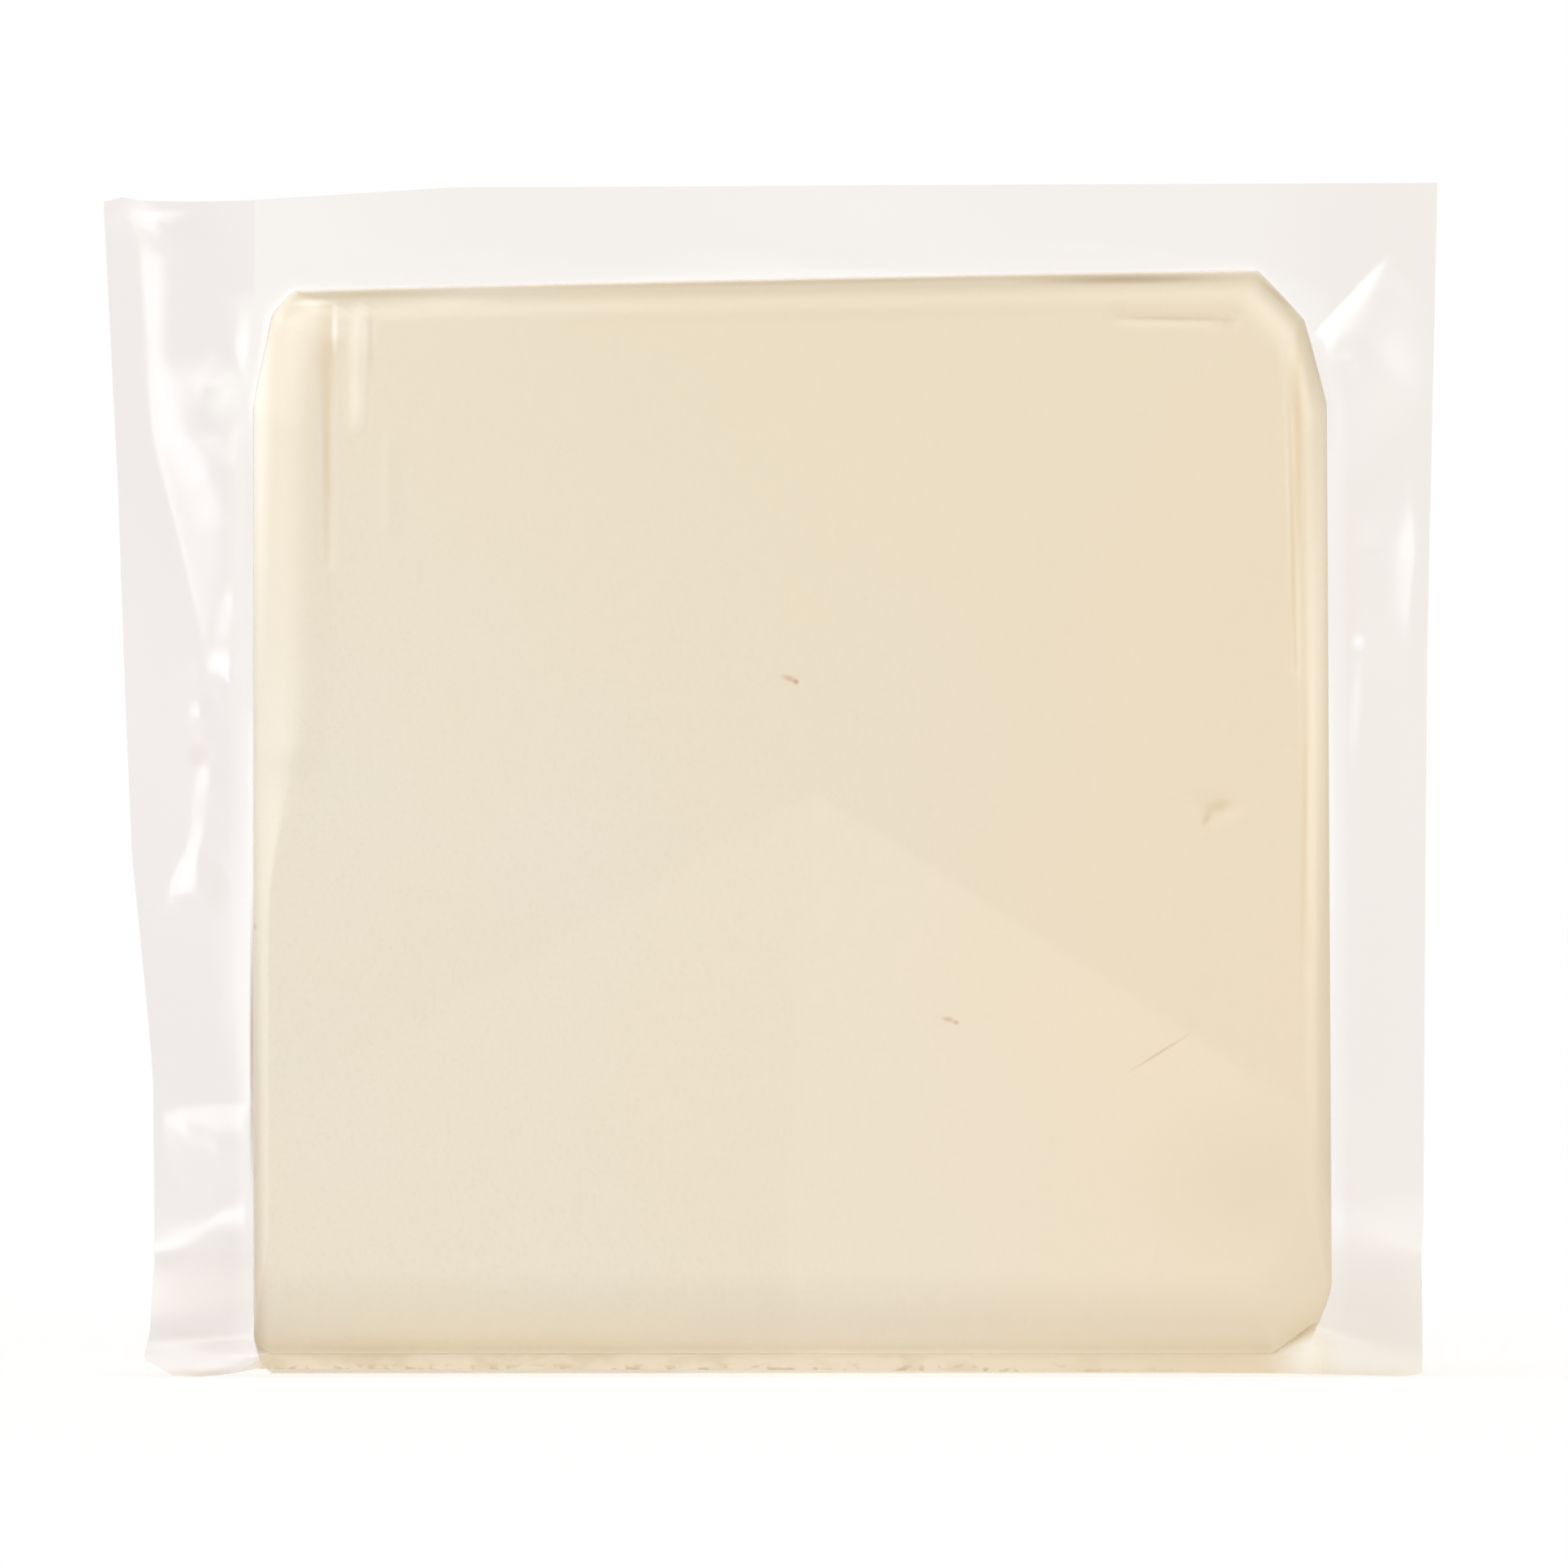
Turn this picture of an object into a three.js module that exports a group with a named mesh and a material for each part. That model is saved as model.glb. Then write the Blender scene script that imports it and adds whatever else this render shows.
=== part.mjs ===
// A vacuum-packed block of pale semi-hard cheese that stands on its lower edge.
//
// Millimetres, +Z up. The front of the pack faces -Y, and the origin lies on the
// ground under the middle of the whole pack. Two bodies make the pack: the cheese,
// out to the film that clings to it, and the free margin of the film round it.

import * as THREE from "three";
import { ParametricGeometry } from "three/addons/geometries/ParametricGeometry.js";
import { mergeVertices } from "three/addons/utils/BufferGeometryUtils.js";

// ---- Driving sizes ---------------------------------------------------------

// The cheese: a slice of a 100 mm bar, cut a little out of square
const CHEESE = {
  left: -50.2,
  right: 50.4,
  height: 103.2,
  heightLostAtLeft: 2.1,
  widthLostAtTop: 0.6,
  depth: 36.6,
  crown: 0.3,
};

// Corners of the front outline: how far each one reaches along X and up Z.
// They are pressed-in corners, flatter than a circle, so their bend is under 2.
const CORNER_BEND = 1.67;
const CORNERS = {
  topRight: { run: 6.4, rise: 12.6 },
  topLeft: { run: 3.8, rise: 11 },
  bottomLeft: { run: 1.6, rise: 4 },
  bottomRight: { run: 5, rise: 8.5 },
};

// Rounding of the edges round the front and back faces:
// how much of the face it takes, and how deep it reaches
const FRONT_EDGE = {
  right: { face: 2.8, deep: 3 },
  top: { face: 3.4, deep: 3.2 },
  left: { face: 6.4, deep: 2.8 },
  bottom: { face: 10, deep: 10 },
};
const BACK_EDGE = {
  right: { face: 3, deep: 3 },
  top: { face: 3, deep: 3 },
  left: { face: 3, deep: 3 },
  bottom: { face: 3.5, deep: 3.5 },
};

// The free margin of the film, in the middle plane of the pack. The cheese holds it
// flat along the inner share of its width, and beyond that it waves and folds freely.
const FILM = {
  thickness: 0.6,
  gap: 0.3,
  right: { atFoot: 59.4, atTop: 60.8 },
  top: { atRight: 111.8, atLeft: 110.3 },
  footClearance: 0.35,
  heldShare: 0.62,
};
// Where the left edge of the film runs: [height, distance left of the cheese's middle]
const LEFT_EDGE = [
  [0, 60.6],
  [14, 59.8],
  [30, 60.1],
  [49, 61.9],
  [83, 63.2],
  [111, 64.8],
];
// Along the cheese the two webs of film part in a fillet
const FILLET = { width: 4.2, halfDepth: 3.6 };
// The lower margin is folded forward under the cheese: the side margins sweep
// forward into it, and its front shows as a low lip at the foot of the cheese
const FOLD = { startHeight: 15, endHeight: 3, forward: 15.4, lipTop: 2.1, lipLean: 1.2 };

// Folds across the margin: a straight crest from one point to another (X from the
// cheese's middle, Z), its half width, and its height towards the front
const FOLDS = [
  { from: [-60.2, 108], to: [-59.2, 90], halfWidth: 2.2, height: 1.9 },
  { from: [-59.2, 90], to: [-52.0, 66], halfWidth: 2.4, height: 2.4 },
  { from: [-53.0, 96], to: [-53.0, 87], halfWidth: 2.0, height: 1.2 },
  { from: [-55.4, 60], to: [-56.4, 44], halfWidth: 1.7, height: 1.3 },
  { from: [-57.6, 24], to: [-51.0, 24], halfWidth: 2.0, height: 1.6 },
  { from: [-57.4, 10], to: [-51.2, 18], halfWidth: 1.9, height: 1.6 },
  { from: [49.5, 98.5], to: [55.0, 104], halfWidth: 2.2, height: 1.8 },
  { from: [58.0, 80], to: [54.8, 54], halfWidth: 2.2, height: 1.0 },
];
// The whole margin also waves gently along its length
const WAVE = { height: 1.1, length: 58 };

const CHEESE_MATERIAL = new THREE.MeshStandardMaterial({ color: "#eadec8", roughness: 0.5, metalness: 0 });
const FILM_MATERIAL = new THREE.MeshStandardMaterial({
  color: "#f2eeee",
  roughness: 0.12,
  metalness: 0,
  transparent: true,
  opacity: 0.35,
});

// ---- Derived sizes ---------------------------------------------------------

const FILM_LEFT_REACH = Math.max(...LEFT_EDGE.map(([, reach]) => reach));
const FILM_WIDTH = FILM_LEFT_REACH + FILM.right.atTop;
// Moves the cheese off centre, so that the whole pack is centred on the origin
const PACK_SHIFT = (FILM_LEFT_REACH - FILM.right.atTop) / 2;
const QUARTER_TURN = Math.PI / 2;

// ---- Outline of the cheese from the front ----------------------------------

// The outline runs anticlockwise as seen from the front. It has a side and a corner in
// turn, and each corner is turned through from one side (0) to the next (1).
const OUTLINE = [
  { side: "right" },
  { corner: "topRight", from: "right", to: "top", signX: 1, signZ: 1 },
  { side: "top" },
  { corner: "topLeft", from: "top", to: "left", signX: -1, signZ: 1 },
  { side: "left" },
  { corner: "bottomLeft", from: "left", to: "bottom", signX: -1, signZ: -1 },
  { side: "bottom" },
  { corner: "bottomRight", from: "bottom", to: "right", signX: 1, signZ: -1 },
];

// Mesh steps along each stretch of the outline above
const CHEESE_STEPS = [7, 8, 8, 8, 7, 5, 8, 6];
const FILM_STEPS = [22, 8, 16, 8, 24, 6, 10, 8];

const sum = (numbers) => numbers.reduce((total, number) => total + number, 0);
const clamp = (value) => Math.min(Math.max(value, 0), 1);
const smooth = (value) => clamp(value) ** 2 * (3 - 2 * clamp(value));
const mix = THREE.MathUtils.lerp;

// Says which stretch a fraction from 0 to 1 falls in, and how far along it,
// where each stretch takes its own number of steps.
function stretchAt(fraction, steps) {
  let left = fraction * sum(steps);
  let index = 0;
  while (index < steps.length - 1 && left > steps[index]) {
    left -= steps[index];
    index += 1;
  }
  return [index, clamp(left / steps[index])];
}

// A point on a corner of the outline; the turn is 0 on the upright side and 1 on the flat one.
function cornerPoint(name, signX, signZ, turn, box) {
  const { run, rise } = CORNERS[name];
  const angle = turn * QUARTER_TURN;
  const sideX = signX > 0 ? box.right : box.left;
  const edgeZ = signZ > 0 ? box.top : box.bottom;
  const reachX = clamp(Math.cos(angle)) ** (2 / CORNER_BEND);
  const reachZ = clamp(Math.sin(angle)) ** (2 / CORNER_BEND);
  return [sideX - signX * run * (1 - reachX), edgeZ - signZ * rise * (1 - reachZ)];
}

// A point on the outline that the given box's sides and the corners make.
function outlinePoint(index, along, box) {
  const part = OUTLINE[index];
  if (part.corner) {
    const upright = part.from === "right" || part.from === "left";
    return cornerPoint(part.corner, part.signX, part.signZ, upright ? along : 1 - along, box);
  }
  const before = OUTLINE[(index + OUTLINE.length - 1) % OUTLINE.length];
  const after = OUTLINE[(index + 1) % OUTLINE.length];
  const start = outlinePoint(OUTLINE.indexOf(before), 1, box);
  const end = outlinePoint(OUTLINE.indexOf(after), 0, box);
  return [mix(start[0], end[0], along), mix(start[1], end[1], along)];
}

// A value that each side has of its own, blended through the corners.
function sideValue(index, along, values) {
  const part = OUTLINE[index];
  if (part.side) return values[part.side];
  return mix(values[part.from], values[part.to], smooth(along));
}

// The block is a little lower at its left, and narrower at its top.
function outOfSquare([x, z]) {
  const width = CHEESE.right - CHEESE.left;
  const across = (x - CHEESE.left) / width;
  const up = z / CHEESE.height;
  const leanX = CHEESE.left + across * (width - CHEESE.widthLostAtTop * up);
  return [leanX, z - CHEESE.heightLostAtLeft * up * (1 - across)];
}

// ---- The cheese ------------------------------------------------------------

// Mesh steps over the back face, its edge, the sides, the front edge and the front face
const CHEESE_BANDS = [3, 4, 3, 6, 3];
// The two faces: which way each one looks along Y, and the rounding of its edge
const FRONT = { sign: -1, edge: FRONT_EDGE };
const BACK = { sign: 1, edge: BACK_EDGE };

// The outline's box, moved in on each side by a share of that side's rounding.
function roundedBox({ edge }, share) {
  return {
    left: CHEESE.left + edge.left.face * share,
    right: CHEESE.right - edge.right.face * share,
    bottom: edge.bottom.face * share,
    top: CHEESE.height - edge.top.face * share,
  };
}

// A point on the slightly crowned face: the reach is 0 in its middle and 1 at its rim.
function facePoint(face, index, along, reach) {
  const box = roundedBox(face, 1);
  const [rimX, rimZ] = outlinePoint(index, along, box);
  const x = mix((box.left + box.right) / 2, rimX, reach);
  const z = mix((box.bottom + box.top) / 2, rimZ, reach);
  return new THREE.Vector3(x, face.sign * (CHEESE.depth / 2 - CHEESE.crown * reach ** 2), z);
}

// A point on the rounding of the face's edge: the turn is 0 on the face and 1 on the sides.
function edgePoint(face, index, along, turn) {
  const { right, top, left, bottom } = face.edge;
  const angle = turn * QUARTER_TURN;
  const [x, z] = outlinePoint(index, along, roundedBox(face, 1 - Math.sin(angle)));
  const depths = { right: right.deep, top: top.deep, left: left.deep, bottom: bottom.deep };
  const deep = sideValue(index, along, depths) * (1 - Math.cos(angle));
  return new THREE.Vector3(x, face.sign * (CHEESE.depth / 2 - CHEESE.crown - deep), z);
}

// The cheese's surface: u runs round the outline, v from the back's middle to the front's.
function cheeseSurface(u, v, target) {
  const [index, along] = stretchAt(u, CHEESE_STEPS);
  const [band, progress] = stretchAt(v, CHEESE_BANDS);
  const bands = [
    () => facePoint(BACK, index, along, progress),
    () => edgePoint(BACK, index, along, progress),
    () => edgePoint(BACK, index, along, 1).lerp(edgePoint(FRONT, index, along, 1), progress),
    () => edgePoint(FRONT, index, along, 1 - progress),
    () => facePoint(FRONT, index, along, 1 - progress),
  ];
  const point = bands[band]();
  const [x, z] = outOfSquare([point.x, point.z]);
  target.set(x + PACK_SHIFT, point.y, z);
}

// ---- The film's margin -----------------------------------------------------

// How far left the film reaches at a height.
function leftReach(height) {
  const last = LEFT_EDGE.length - 1;
  const index = Math.min(Math.max(LEFT_EDGE.findIndex(([z]) => z >= height), 1), last);
  const [lowZ, lowReach] = LEFT_EDGE[index - 1];
  const [highZ, highReach] = LEFT_EDGE[index];
  return mix(lowReach, highReach, smooth((height - lowZ) / (highZ - lowZ)));
}

// The outer edge of the film: the point on each side of it that faces a point at X, Z
const OUTER_EDGES = {
  right: (x, z) => [mix(FILM.right.atFoot, FILM.right.atTop, z / FILM.top.atRight), z],
  left: (x, z) => [-leftReach(z), z],
  top: (x) => [x, mix(FILM.top.atLeft, FILM.top.atRight, (x + FILM_LEFT_REACH) / FILM_WIDTH)],
  bottom: (x) => [x, FILM.footClearance],
};

// The film's own corner beyond a corner of the cheese.
function filmCorner({ signX, signZ }) {
  const reach = signX > 0 ? FILM.right.atTop : -FILM_LEFT_REACH;
  const [, height] = signZ > 0 ? OUTER_EDGES.top(reach) : OUTER_EDGES.bottom(reach);
  return signX > 0 ? OUTER_EDGES.right(reach, height) : OUTER_EDGES.left(reach, height);
}

// The inner edge of the film: the cheese's outline, larger by the gap between the two.
function innerPoint(index, along) {
  const box = {
    left: CHEESE.left - FILM.gap,
    right: CHEESE.right + FILM.gap,
    bottom: 0,
    top: CHEESE.height + FILM.gap,
  };
  return outOfSquare(outlinePoint(index, along, box));
}

// The point of the outer edge that belongs to a point of the inner one. Round a corner
// it runs out along one edge to the film's own corner, then back along the next edge.
function outerPoint(index, along) {
  const part = OUTLINE[index];
  if (part.side) return OUTER_EDGES[part.side](...innerPoint(index, along));
  const corner = filmCorner(part);
  const outwards = along < 0.5;
  const from = outwards ? OUTER_EDGES[part.from](...innerPoint(index, 0)) : corner;
  const to = outwards ? corner : OUTER_EDGES[part.to](...innerPoint(index, 1));
  const progress = outwards ? along * 2 : along * 2 - 1;
  return [mix(from[0], to[0], progress), mix(from[1], to[1], progress)];
}

const inFrontView = ([x, z]) => new THREE.Vector3(x, 0, z);

// The height of the folds above the film's middle plane, at a point of the front view.
function foldHeight(x, z) {
  const point = inFrontView([x, z]);
  const nearest = new THREE.Vector3();
  const heights = FOLDS.map(({ from, to, halfWidth, height }) => {
    const crest = new THREE.Line3(inFrontView(from), inFrontView(to));
    crest.closestPointToPoint(point, true, nearest);
    return height * Math.exp(-((point.distanceTo(nearest) / halfWidth) ** 2));
  });
  return Math.max(...heights);
}

// The film's middle surface: v runs round the pack, a from the cheese to the outer edge.
function filmMiddle(v, across) {
  const [index, along] = stretchAt(v, FILM_STEPS);
  const [innerX, innerZ] = innerPoint(index, along);
  const [outerX, outerZ] = outerPoint(index, along);
  const x = mix(innerX, outerX, across);
  const lowInner = Math.max(innerZ, FOLD.lipTop);
  const z = mix(lowInner, outerZ, across);
  const sweep = smooth((FOLD.startHeight - innerZ) / (FOLD.startHeight - FOLD.endHeight));
  const lip = sideValue(index, along, { right: 0, top: 0, left: 0, bottom: 1 });
  const relief = foldHeight(x, z) + WAVE.height * Math.sin((2 * Math.PI * (x + z)) / WAVE.length);
  const free = smooth(across / FILM.heldShare) * (1 - sweep);
  const y = -FOLD.forward * sweep - FOLD.lipLean * lip * across - relief * free;
  return new THREE.Vector3(x, y, z);
}

// Half the film's thickness, larger in the fillet along the cheese.
function filmHalf(v, across, width) {
  const [index, along] = stretchAt(v, FILM_STEPS);
  const [, innerZ] = innerPoint(index, along);
  const upright = smooth((innerZ - FOLD.endHeight) / (FOLD.startHeight - FOLD.endHeight));
  const fillet = clamp(1 - (across * width) / FILLET.width) ** 2;
  return FILM.thickness / 2 + FILLET.halfDepth * fillet * upright;
}

// Places across the film's front, from the cheese out, that follow the fillet's curve
const ACROSS = [0, 0.12, 0.26, 0.42, 0.6, 0.8, 1];
// A step along the surface that is small enough to give its slope
const NEARBY = 1e-3;

// The film's surface: u runs out along the front and back along the rear, v round the pack.
function filmSurface(u, v, target) {
  const count = ACROSS.length;
  const place = Math.round(u * 2 * count) % (2 * count);
  const front = place < count;
  const across = front ? ACROSS[place] : ACROSS[2 * count - 1 - place];
  const middle = filmMiddle(v, across);
  const alongPack = filmMiddle((v + NEARBY) % 1, across).sub(filmMiddle((v - NEARBY + 1) % 1, across));
  const out = filmMiddle(v, Math.min(across + NEARBY, 1)).sub(filmMiddle(v, Math.max(across - NEARBY, 0)));
  const towardsBack = new THREE.Vector3().crossVectors(alongPack, out).normalize();
  const width = filmMiddle(v, 0).distanceTo(filmMiddle(v, 1));
  const half = filmHalf(v, across, width) * (front ? -1 : 1);
  target.copy(middle).addScaledVector(towardsBack, half);
  target.x += PACK_SHIFT;
}

// ---- Meshes ----------------------------------------------------------------

// Joins a surface's seams and poles, and drops the triangles that they flatten.
function closedGeometry(surface, slices, stacks) {
  const open = new ParametricGeometry(surface, slices, stacks);
  open.deleteAttribute("normal");
  open.deleteAttribute("uv");
  const closed = mergeVertices(open);
  const corners = closed.index.array;
  const kept = [];
  for (let i = 0; i < corners.length; i += 3) {
    const [a, b, c] = corners.slice(i, i + 3);
    if (a !== b && b !== c && c !== a) kept.push(a, b, c);
  }
  closed.setIndex(kept);
  closed.computeVertexNormals();
  return closed;
}

function namedMesh(name, geometry, material) {
  const mesh = new THREE.Mesh(geometry, material);
  mesh.name = name;
  return mesh;
}

const cheese = closedGeometry(cheeseSurface, sum(CHEESE_STEPS), sum(CHEESE_BANDS));
const film = closedGeometry(filmSurface, 2 * ACROSS.length, sum(FILM_STEPS));

const pack = new THREE.Group();
pack.add(namedMesh("cheese_block", cheese, CHEESE_MATERIAL));
pack.add(namedMesh("film_margin", film, FILM_MATERIAL));

export default pack;
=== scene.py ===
"""A vacuum-packed block of pale semi-hard cheese, standing on its lower edge.

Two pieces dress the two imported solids. The cheese is one, and the clear film is the
other: it clings to the cheese all round, and its free margin stands out at the left,
top and right and is folded forward under the foot. Sizes in the classes are in
millimetres, and a mesh is turned to metres when it is written.
"""

import logging
import math
from dataclasses import dataclass, field
from enum import IntEnum
from typing import Sequence

import bmesh
import bpy
import numpy as np
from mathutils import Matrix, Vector


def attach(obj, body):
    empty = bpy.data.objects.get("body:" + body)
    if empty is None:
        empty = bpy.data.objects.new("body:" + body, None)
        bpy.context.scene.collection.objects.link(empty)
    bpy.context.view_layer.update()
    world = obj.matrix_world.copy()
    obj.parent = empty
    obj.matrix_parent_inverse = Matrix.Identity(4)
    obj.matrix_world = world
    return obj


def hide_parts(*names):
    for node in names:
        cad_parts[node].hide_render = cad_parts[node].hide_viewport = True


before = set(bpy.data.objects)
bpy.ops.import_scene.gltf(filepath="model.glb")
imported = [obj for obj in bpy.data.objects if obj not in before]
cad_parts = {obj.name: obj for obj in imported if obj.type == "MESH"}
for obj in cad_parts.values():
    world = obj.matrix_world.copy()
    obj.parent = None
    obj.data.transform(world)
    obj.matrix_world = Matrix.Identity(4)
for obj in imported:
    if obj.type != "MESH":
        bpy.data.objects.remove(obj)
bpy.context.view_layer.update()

LOG = logging.getLogger("cheese_pack")
BODY = "root"
MM = 0.001
QUARTER_TURN = math.pi / 2
# Farther from the middle than any edge of the film, in millimetres
BEYOND_EDGES = 70.0
# As many see-through faces as one look may pass
FILM_LAYERS = 24

Array = np.ndarray
Point = tuple[float, float]
BMesh = bmesh.types.BMesh
Tree = bpy.types.NodeTree
Socket = bpy.types.NodeSocket


# ---- Small helpers -----------------------------------------------------------


def smooth(value: Array) -> Array:
    """Eases 0 to 1 in and out, and holds what is outside at 0 or 1."""
    held = np.clip(value, 0.0, 1.0)
    return held * held * (3.0 - 2.0 * held)


def mix(first: Array, second: Array, share: Array) -> Array:
    """The value a share of the way from the first to the second."""
    return first + (second - first) * share


def linear_colour(code: str) -> tuple[float, float, float, float]:
    """Turns an sRGB hex colour to the linear colour that a shader takes.

    Args:
        code: The colour as #rrggbb.

    Returns:
        Linear red, green and blue, and an alpha of 1.
    """
    shares = [int(code[i : i + 2], 16) / 255 for i in (1, 3, 5)]
    linear = [s / 12.92 if s <= 0.04045 else ((s + 0.055) / 1.055) ** 2.4 for s in shares]
    return (*linear, 1.0)


# ---- The form of the block ---------------------------------------------------


class Side(IntEnum):
    """The sides of the front outline, in the order in which it runs."""

    RIGHT = 0
    TOP = 1
    LEFT = 2
    BOTTOM = 3


@dataclass(frozen=True)
class Rounding:
    """How much of the face an edge's rounding takes, and how deep it reaches."""

    face: float
    deep: float


@dataclass(frozen=True)
class Crease:
    """A ramp in a surface: crisp at its path, soft where it ends.

    Attributes:
        path: Points (X, Z, width, slope), X from the cheese's middle. The surface rises
            to the front from the path, on its left as seen along it in the front view,
            over the width. The slope is that at the path, and the rise flattens out.
        settle: How far it then takes to come down again.
    """

    path: tuple[tuple[float, float, float, float], ...]
    settle: float = 6.0

    def height(self, x: Array, z: Array) -> Array:
        """How far the surface stands to the front at points of the front view.

        Args:
            x: The points' distance right of the cheese's middle.
            z: The points' height.

        Returns:
            The heights, in millimetres.
        """
        best = np.full(x.shape, np.inf)
        height = np.zeros(x.shape)
        for start, end in zip(self.path, self.path[1:]):
            run = np.array(end[:2]) - np.array(start[:2])
            length = float(np.hypot(*run))
            along = ((x - start[0]) * run[0] + (z - start[1]) * run[1]) / length**2
            held = np.clip(along, 0.0, 1.0)
            off_x = x - start[0] - held * run[0]
            off_z = z - start[1] - held * run[1]
            distance = np.hypot(off_x, off_z)
            width = mix(start[2], end[2], held)
            slope = mix(start[3], end[3], held)
            inside = run[0] * off_z - run[1] * off_x > 0
            here = self._profile(distance, width, slope)
            nearer = distance < best
            height = np.where(nearer, np.where(inside, here, 0.0), height)
            best = np.where(nearer, distance, best)
        return height

    def _profile(self, distance: Array, width: Array, slope: Array) -> Array:
        """The height at a distance from the path, on the side that rises."""
        share = np.clip(distance / width, 0.0, 1.0)
        rise = slope * width / 2 * (1 - (1 - share) ** 2)
        return rise * (1 - smooth((distance - width) / self.settle))


@dataclass(frozen=True)
class Swelling:
    """A soft long bump, or with a height below 0 a dent, in a surface.

    Attributes:
        start: One end of its spine, as X and Z.
        end: The other end.
        half_width: Where its height has fallen to about a third.
        height: How far its spine stands to the front.
    """

    start: Point
    end: Point
    half_width: float
    height: float

    def at(self, x: Array, z: Array) -> Array:
        """The bump's height at points of the front view, in millimetres."""
        run_x, run_z = self.end[0] - self.start[0], self.end[1] - self.start[1]
        length2 = max(run_x**2 + run_z**2, 1e-9)
        along = np.clip(((x - self.start[0]) * run_x + (z - self.start[1]) * run_z) / length2, 0, 1)
        distance = np.hypot(x - self.start[0] - along * run_x, z - self.start[1] - along * run_z)
        return self.height * np.exp(-((distance / self.half_width) ** 2))


@dataclass(frozen=True)
class Block:
    """The form that the cheese and the film round it share, with its place in the pack.

    The outline is given by a place from 0 to 8, which runs anticlockwise as seen from
    the front: each side takes 1, and then the corner after it takes 1.
    """

    left: float = -50.2
    right: float = 50.4
    height: float = 103.2
    height_lost_at_left: float = 2.1
    width_lost_at_top: float = 0.6
    top_bow: float = 0.2
    depth: float = 36.6
    crown: float = 0.3
    pack_shift: float = 2.0
    corner_bend: float = 1.67
    # Corner after each side: how far it reaches along X and up Z
    corners: tuple[Point, ...] = ((6.4, 12.6), (3.8, 11.0), (1.6, 4.0), (5.0, 8.5))
    corner_signs: tuple[tuple[int, int], ...] = ((1, 1), (-1, 1), (-1, -1), (1, -1))
    # Both top corners are cut off in two nearly straight facets: how far the bend between
    # them lies inside the side and the edge, as shares of the corner, and how crisp it is
    bends: tuple[Point, ...] = ((0.32, 0.38), (0.50, 0.17), (0.34, 0.34), (0.41, 0.42))
    bend_crispness: tuple[float, ...] = (0.9, 0.8, 0.0, 0.5)
    front_edge: tuple[Rounding, ...] = (
        Rounding(2.8, 3.0), Rounding(3.4, 3.2), Rounding(6.4, 2.8), Rounding(10.0, 10.0),
    )
    back_edge: tuple[Rounding, ...] = (
        Rounding(3.0, 3.0), Rounding(3.0, 3.0), Rounding(3.0, 3.0), Rounding(3.5, 3.5),
    )
    # The margin's middle plane, and how its lower end is folded forward under the foot
    fold_start: float = 15.0
    fold_end: float = 3.0
    fold_forward: float = 15.4
    lip_root: float = 14.2
    # Half the gap between the two webs where they leave the block, and at the folded foot
    root_half: float = 0.25
    folded_half: float = 0.1
    # From about half way down the left side its front rounding is this much narrower
    crisp_from: float = 4.25
    crisp_blend: float = 0.35
    crisp_share: float = 0.25

    @staticmethod
    def place_on_ring(across: Array, up: Array) -> Array:
        """Where the outline is met from the middle, before the corners' sizes count.

        Args:
            across: Share of the half width, -1 to 1, with either it or up at full size.
            up: Share of the half height, -1 to 1.

        Returns:
            For each point its side from 0 to 3 plus how far it is along it, 0 to 1.
        """
        side = np.select(
            [across >= np.abs(up), up >= np.abs(across), -across >= np.abs(up)],
            [Side.RIGHT, Side.TOP, Side.LEFT], Side.BOTTOM,
        )
        along = np.choose(side, [up, -across, -up, across])
        return side + np.clip((along + 1) / 2, 0.0, 1.0 - 1e-9)

    def outline_place(self, ring: Array) -> Array:
        """Turns a place on the square ring, 0 to 4, to the outline's place, 0 to 8."""
        side = np.floor(ring).astype(int) % 4
        along = 2 * (ring - np.floor(ring)) - 1
        half = np.array([self.height, self.right - self.left] * 2) / 2
        reach = np.array([self.corners[k][1 - k % 2] for k in range(4)])
        other = np.array([self.corners[k - 1][1 - k % 2] for k in range(4)])
        after = reach[side] / half[side]
        before = other[side] / half[side]
        in_before = 2 * side - 0.5 + 0.5 * (along + 1) / before
        in_after = 2 * side + 1 + 0.5 * (along - 1 + after) / after
        on_side = 2 * side + (along + 1 - before) / (2 - before - after)
        place = np.select([along < before - 1, along > 1 - after], [in_before, in_after], on_side)
        return np.mod(place, 8.0)

    @staticmethod
    def side_value(place: Array, values: Sequence[float]) -> Array:
        """A value that each side has of its own, blended through the corners."""
        stretch = np.floor(place).astype(int) % 8
        known = np.asarray(values, float)
        here = known[stretch // 2]
        after = known[(stretch // 2 + 1) % 4]
        turned = smooth(place - np.floor(place))
        return np.where(stretch % 2 == 0, here, mix(here, after, turned))

    def _corner_point(self, corner: Array, along: Array, lines: Array) -> tuple[Array, Array]:
        """A point on a corner, turned through from the side before it to the one after."""
        turn = np.where(corner % 2 == 0, along, 1 - along) * QUARTER_TURN
        run, rise = np.array(self.corners).T[:, corner]
        sign_x, sign_z = np.array(self.corner_signs).T[:, corner]
        side_x = np.where(sign_x > 0, lines[Side.RIGHT], lines[Side.LEFT])
        edge_z = np.where(sign_z > 0, lines[Side.TOP], lines[Side.BOTTOM])
        reach_x = np.clip(np.cos(turn), 0, 1) ** (2 / self.corner_bend)
        reach_z = np.clip(np.sin(turn), 0, 1) ** (2 / self.corner_bend)
        bend_x, bend_z = 1 - np.array(self.bends).T[:, corner]
        halves = turn / QUARTER_TURN * 2
        first, second = np.clip(halves, 0, 1), np.clip(halves - 1, 0, 1)
        crisp = np.array(self.bend_crispness)[corner]
        reach_x = mix(reach_x, 1 - (1 - bend_x) * first - bend_x * second, crisp)
        reach_z = mix(reach_z, bend_z * first + (1 - bend_z) * second, crisp)
        return side_x - sign_x * run * (1 - reach_x), edge_z - sign_z * rise * (1 - reach_z)

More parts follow.
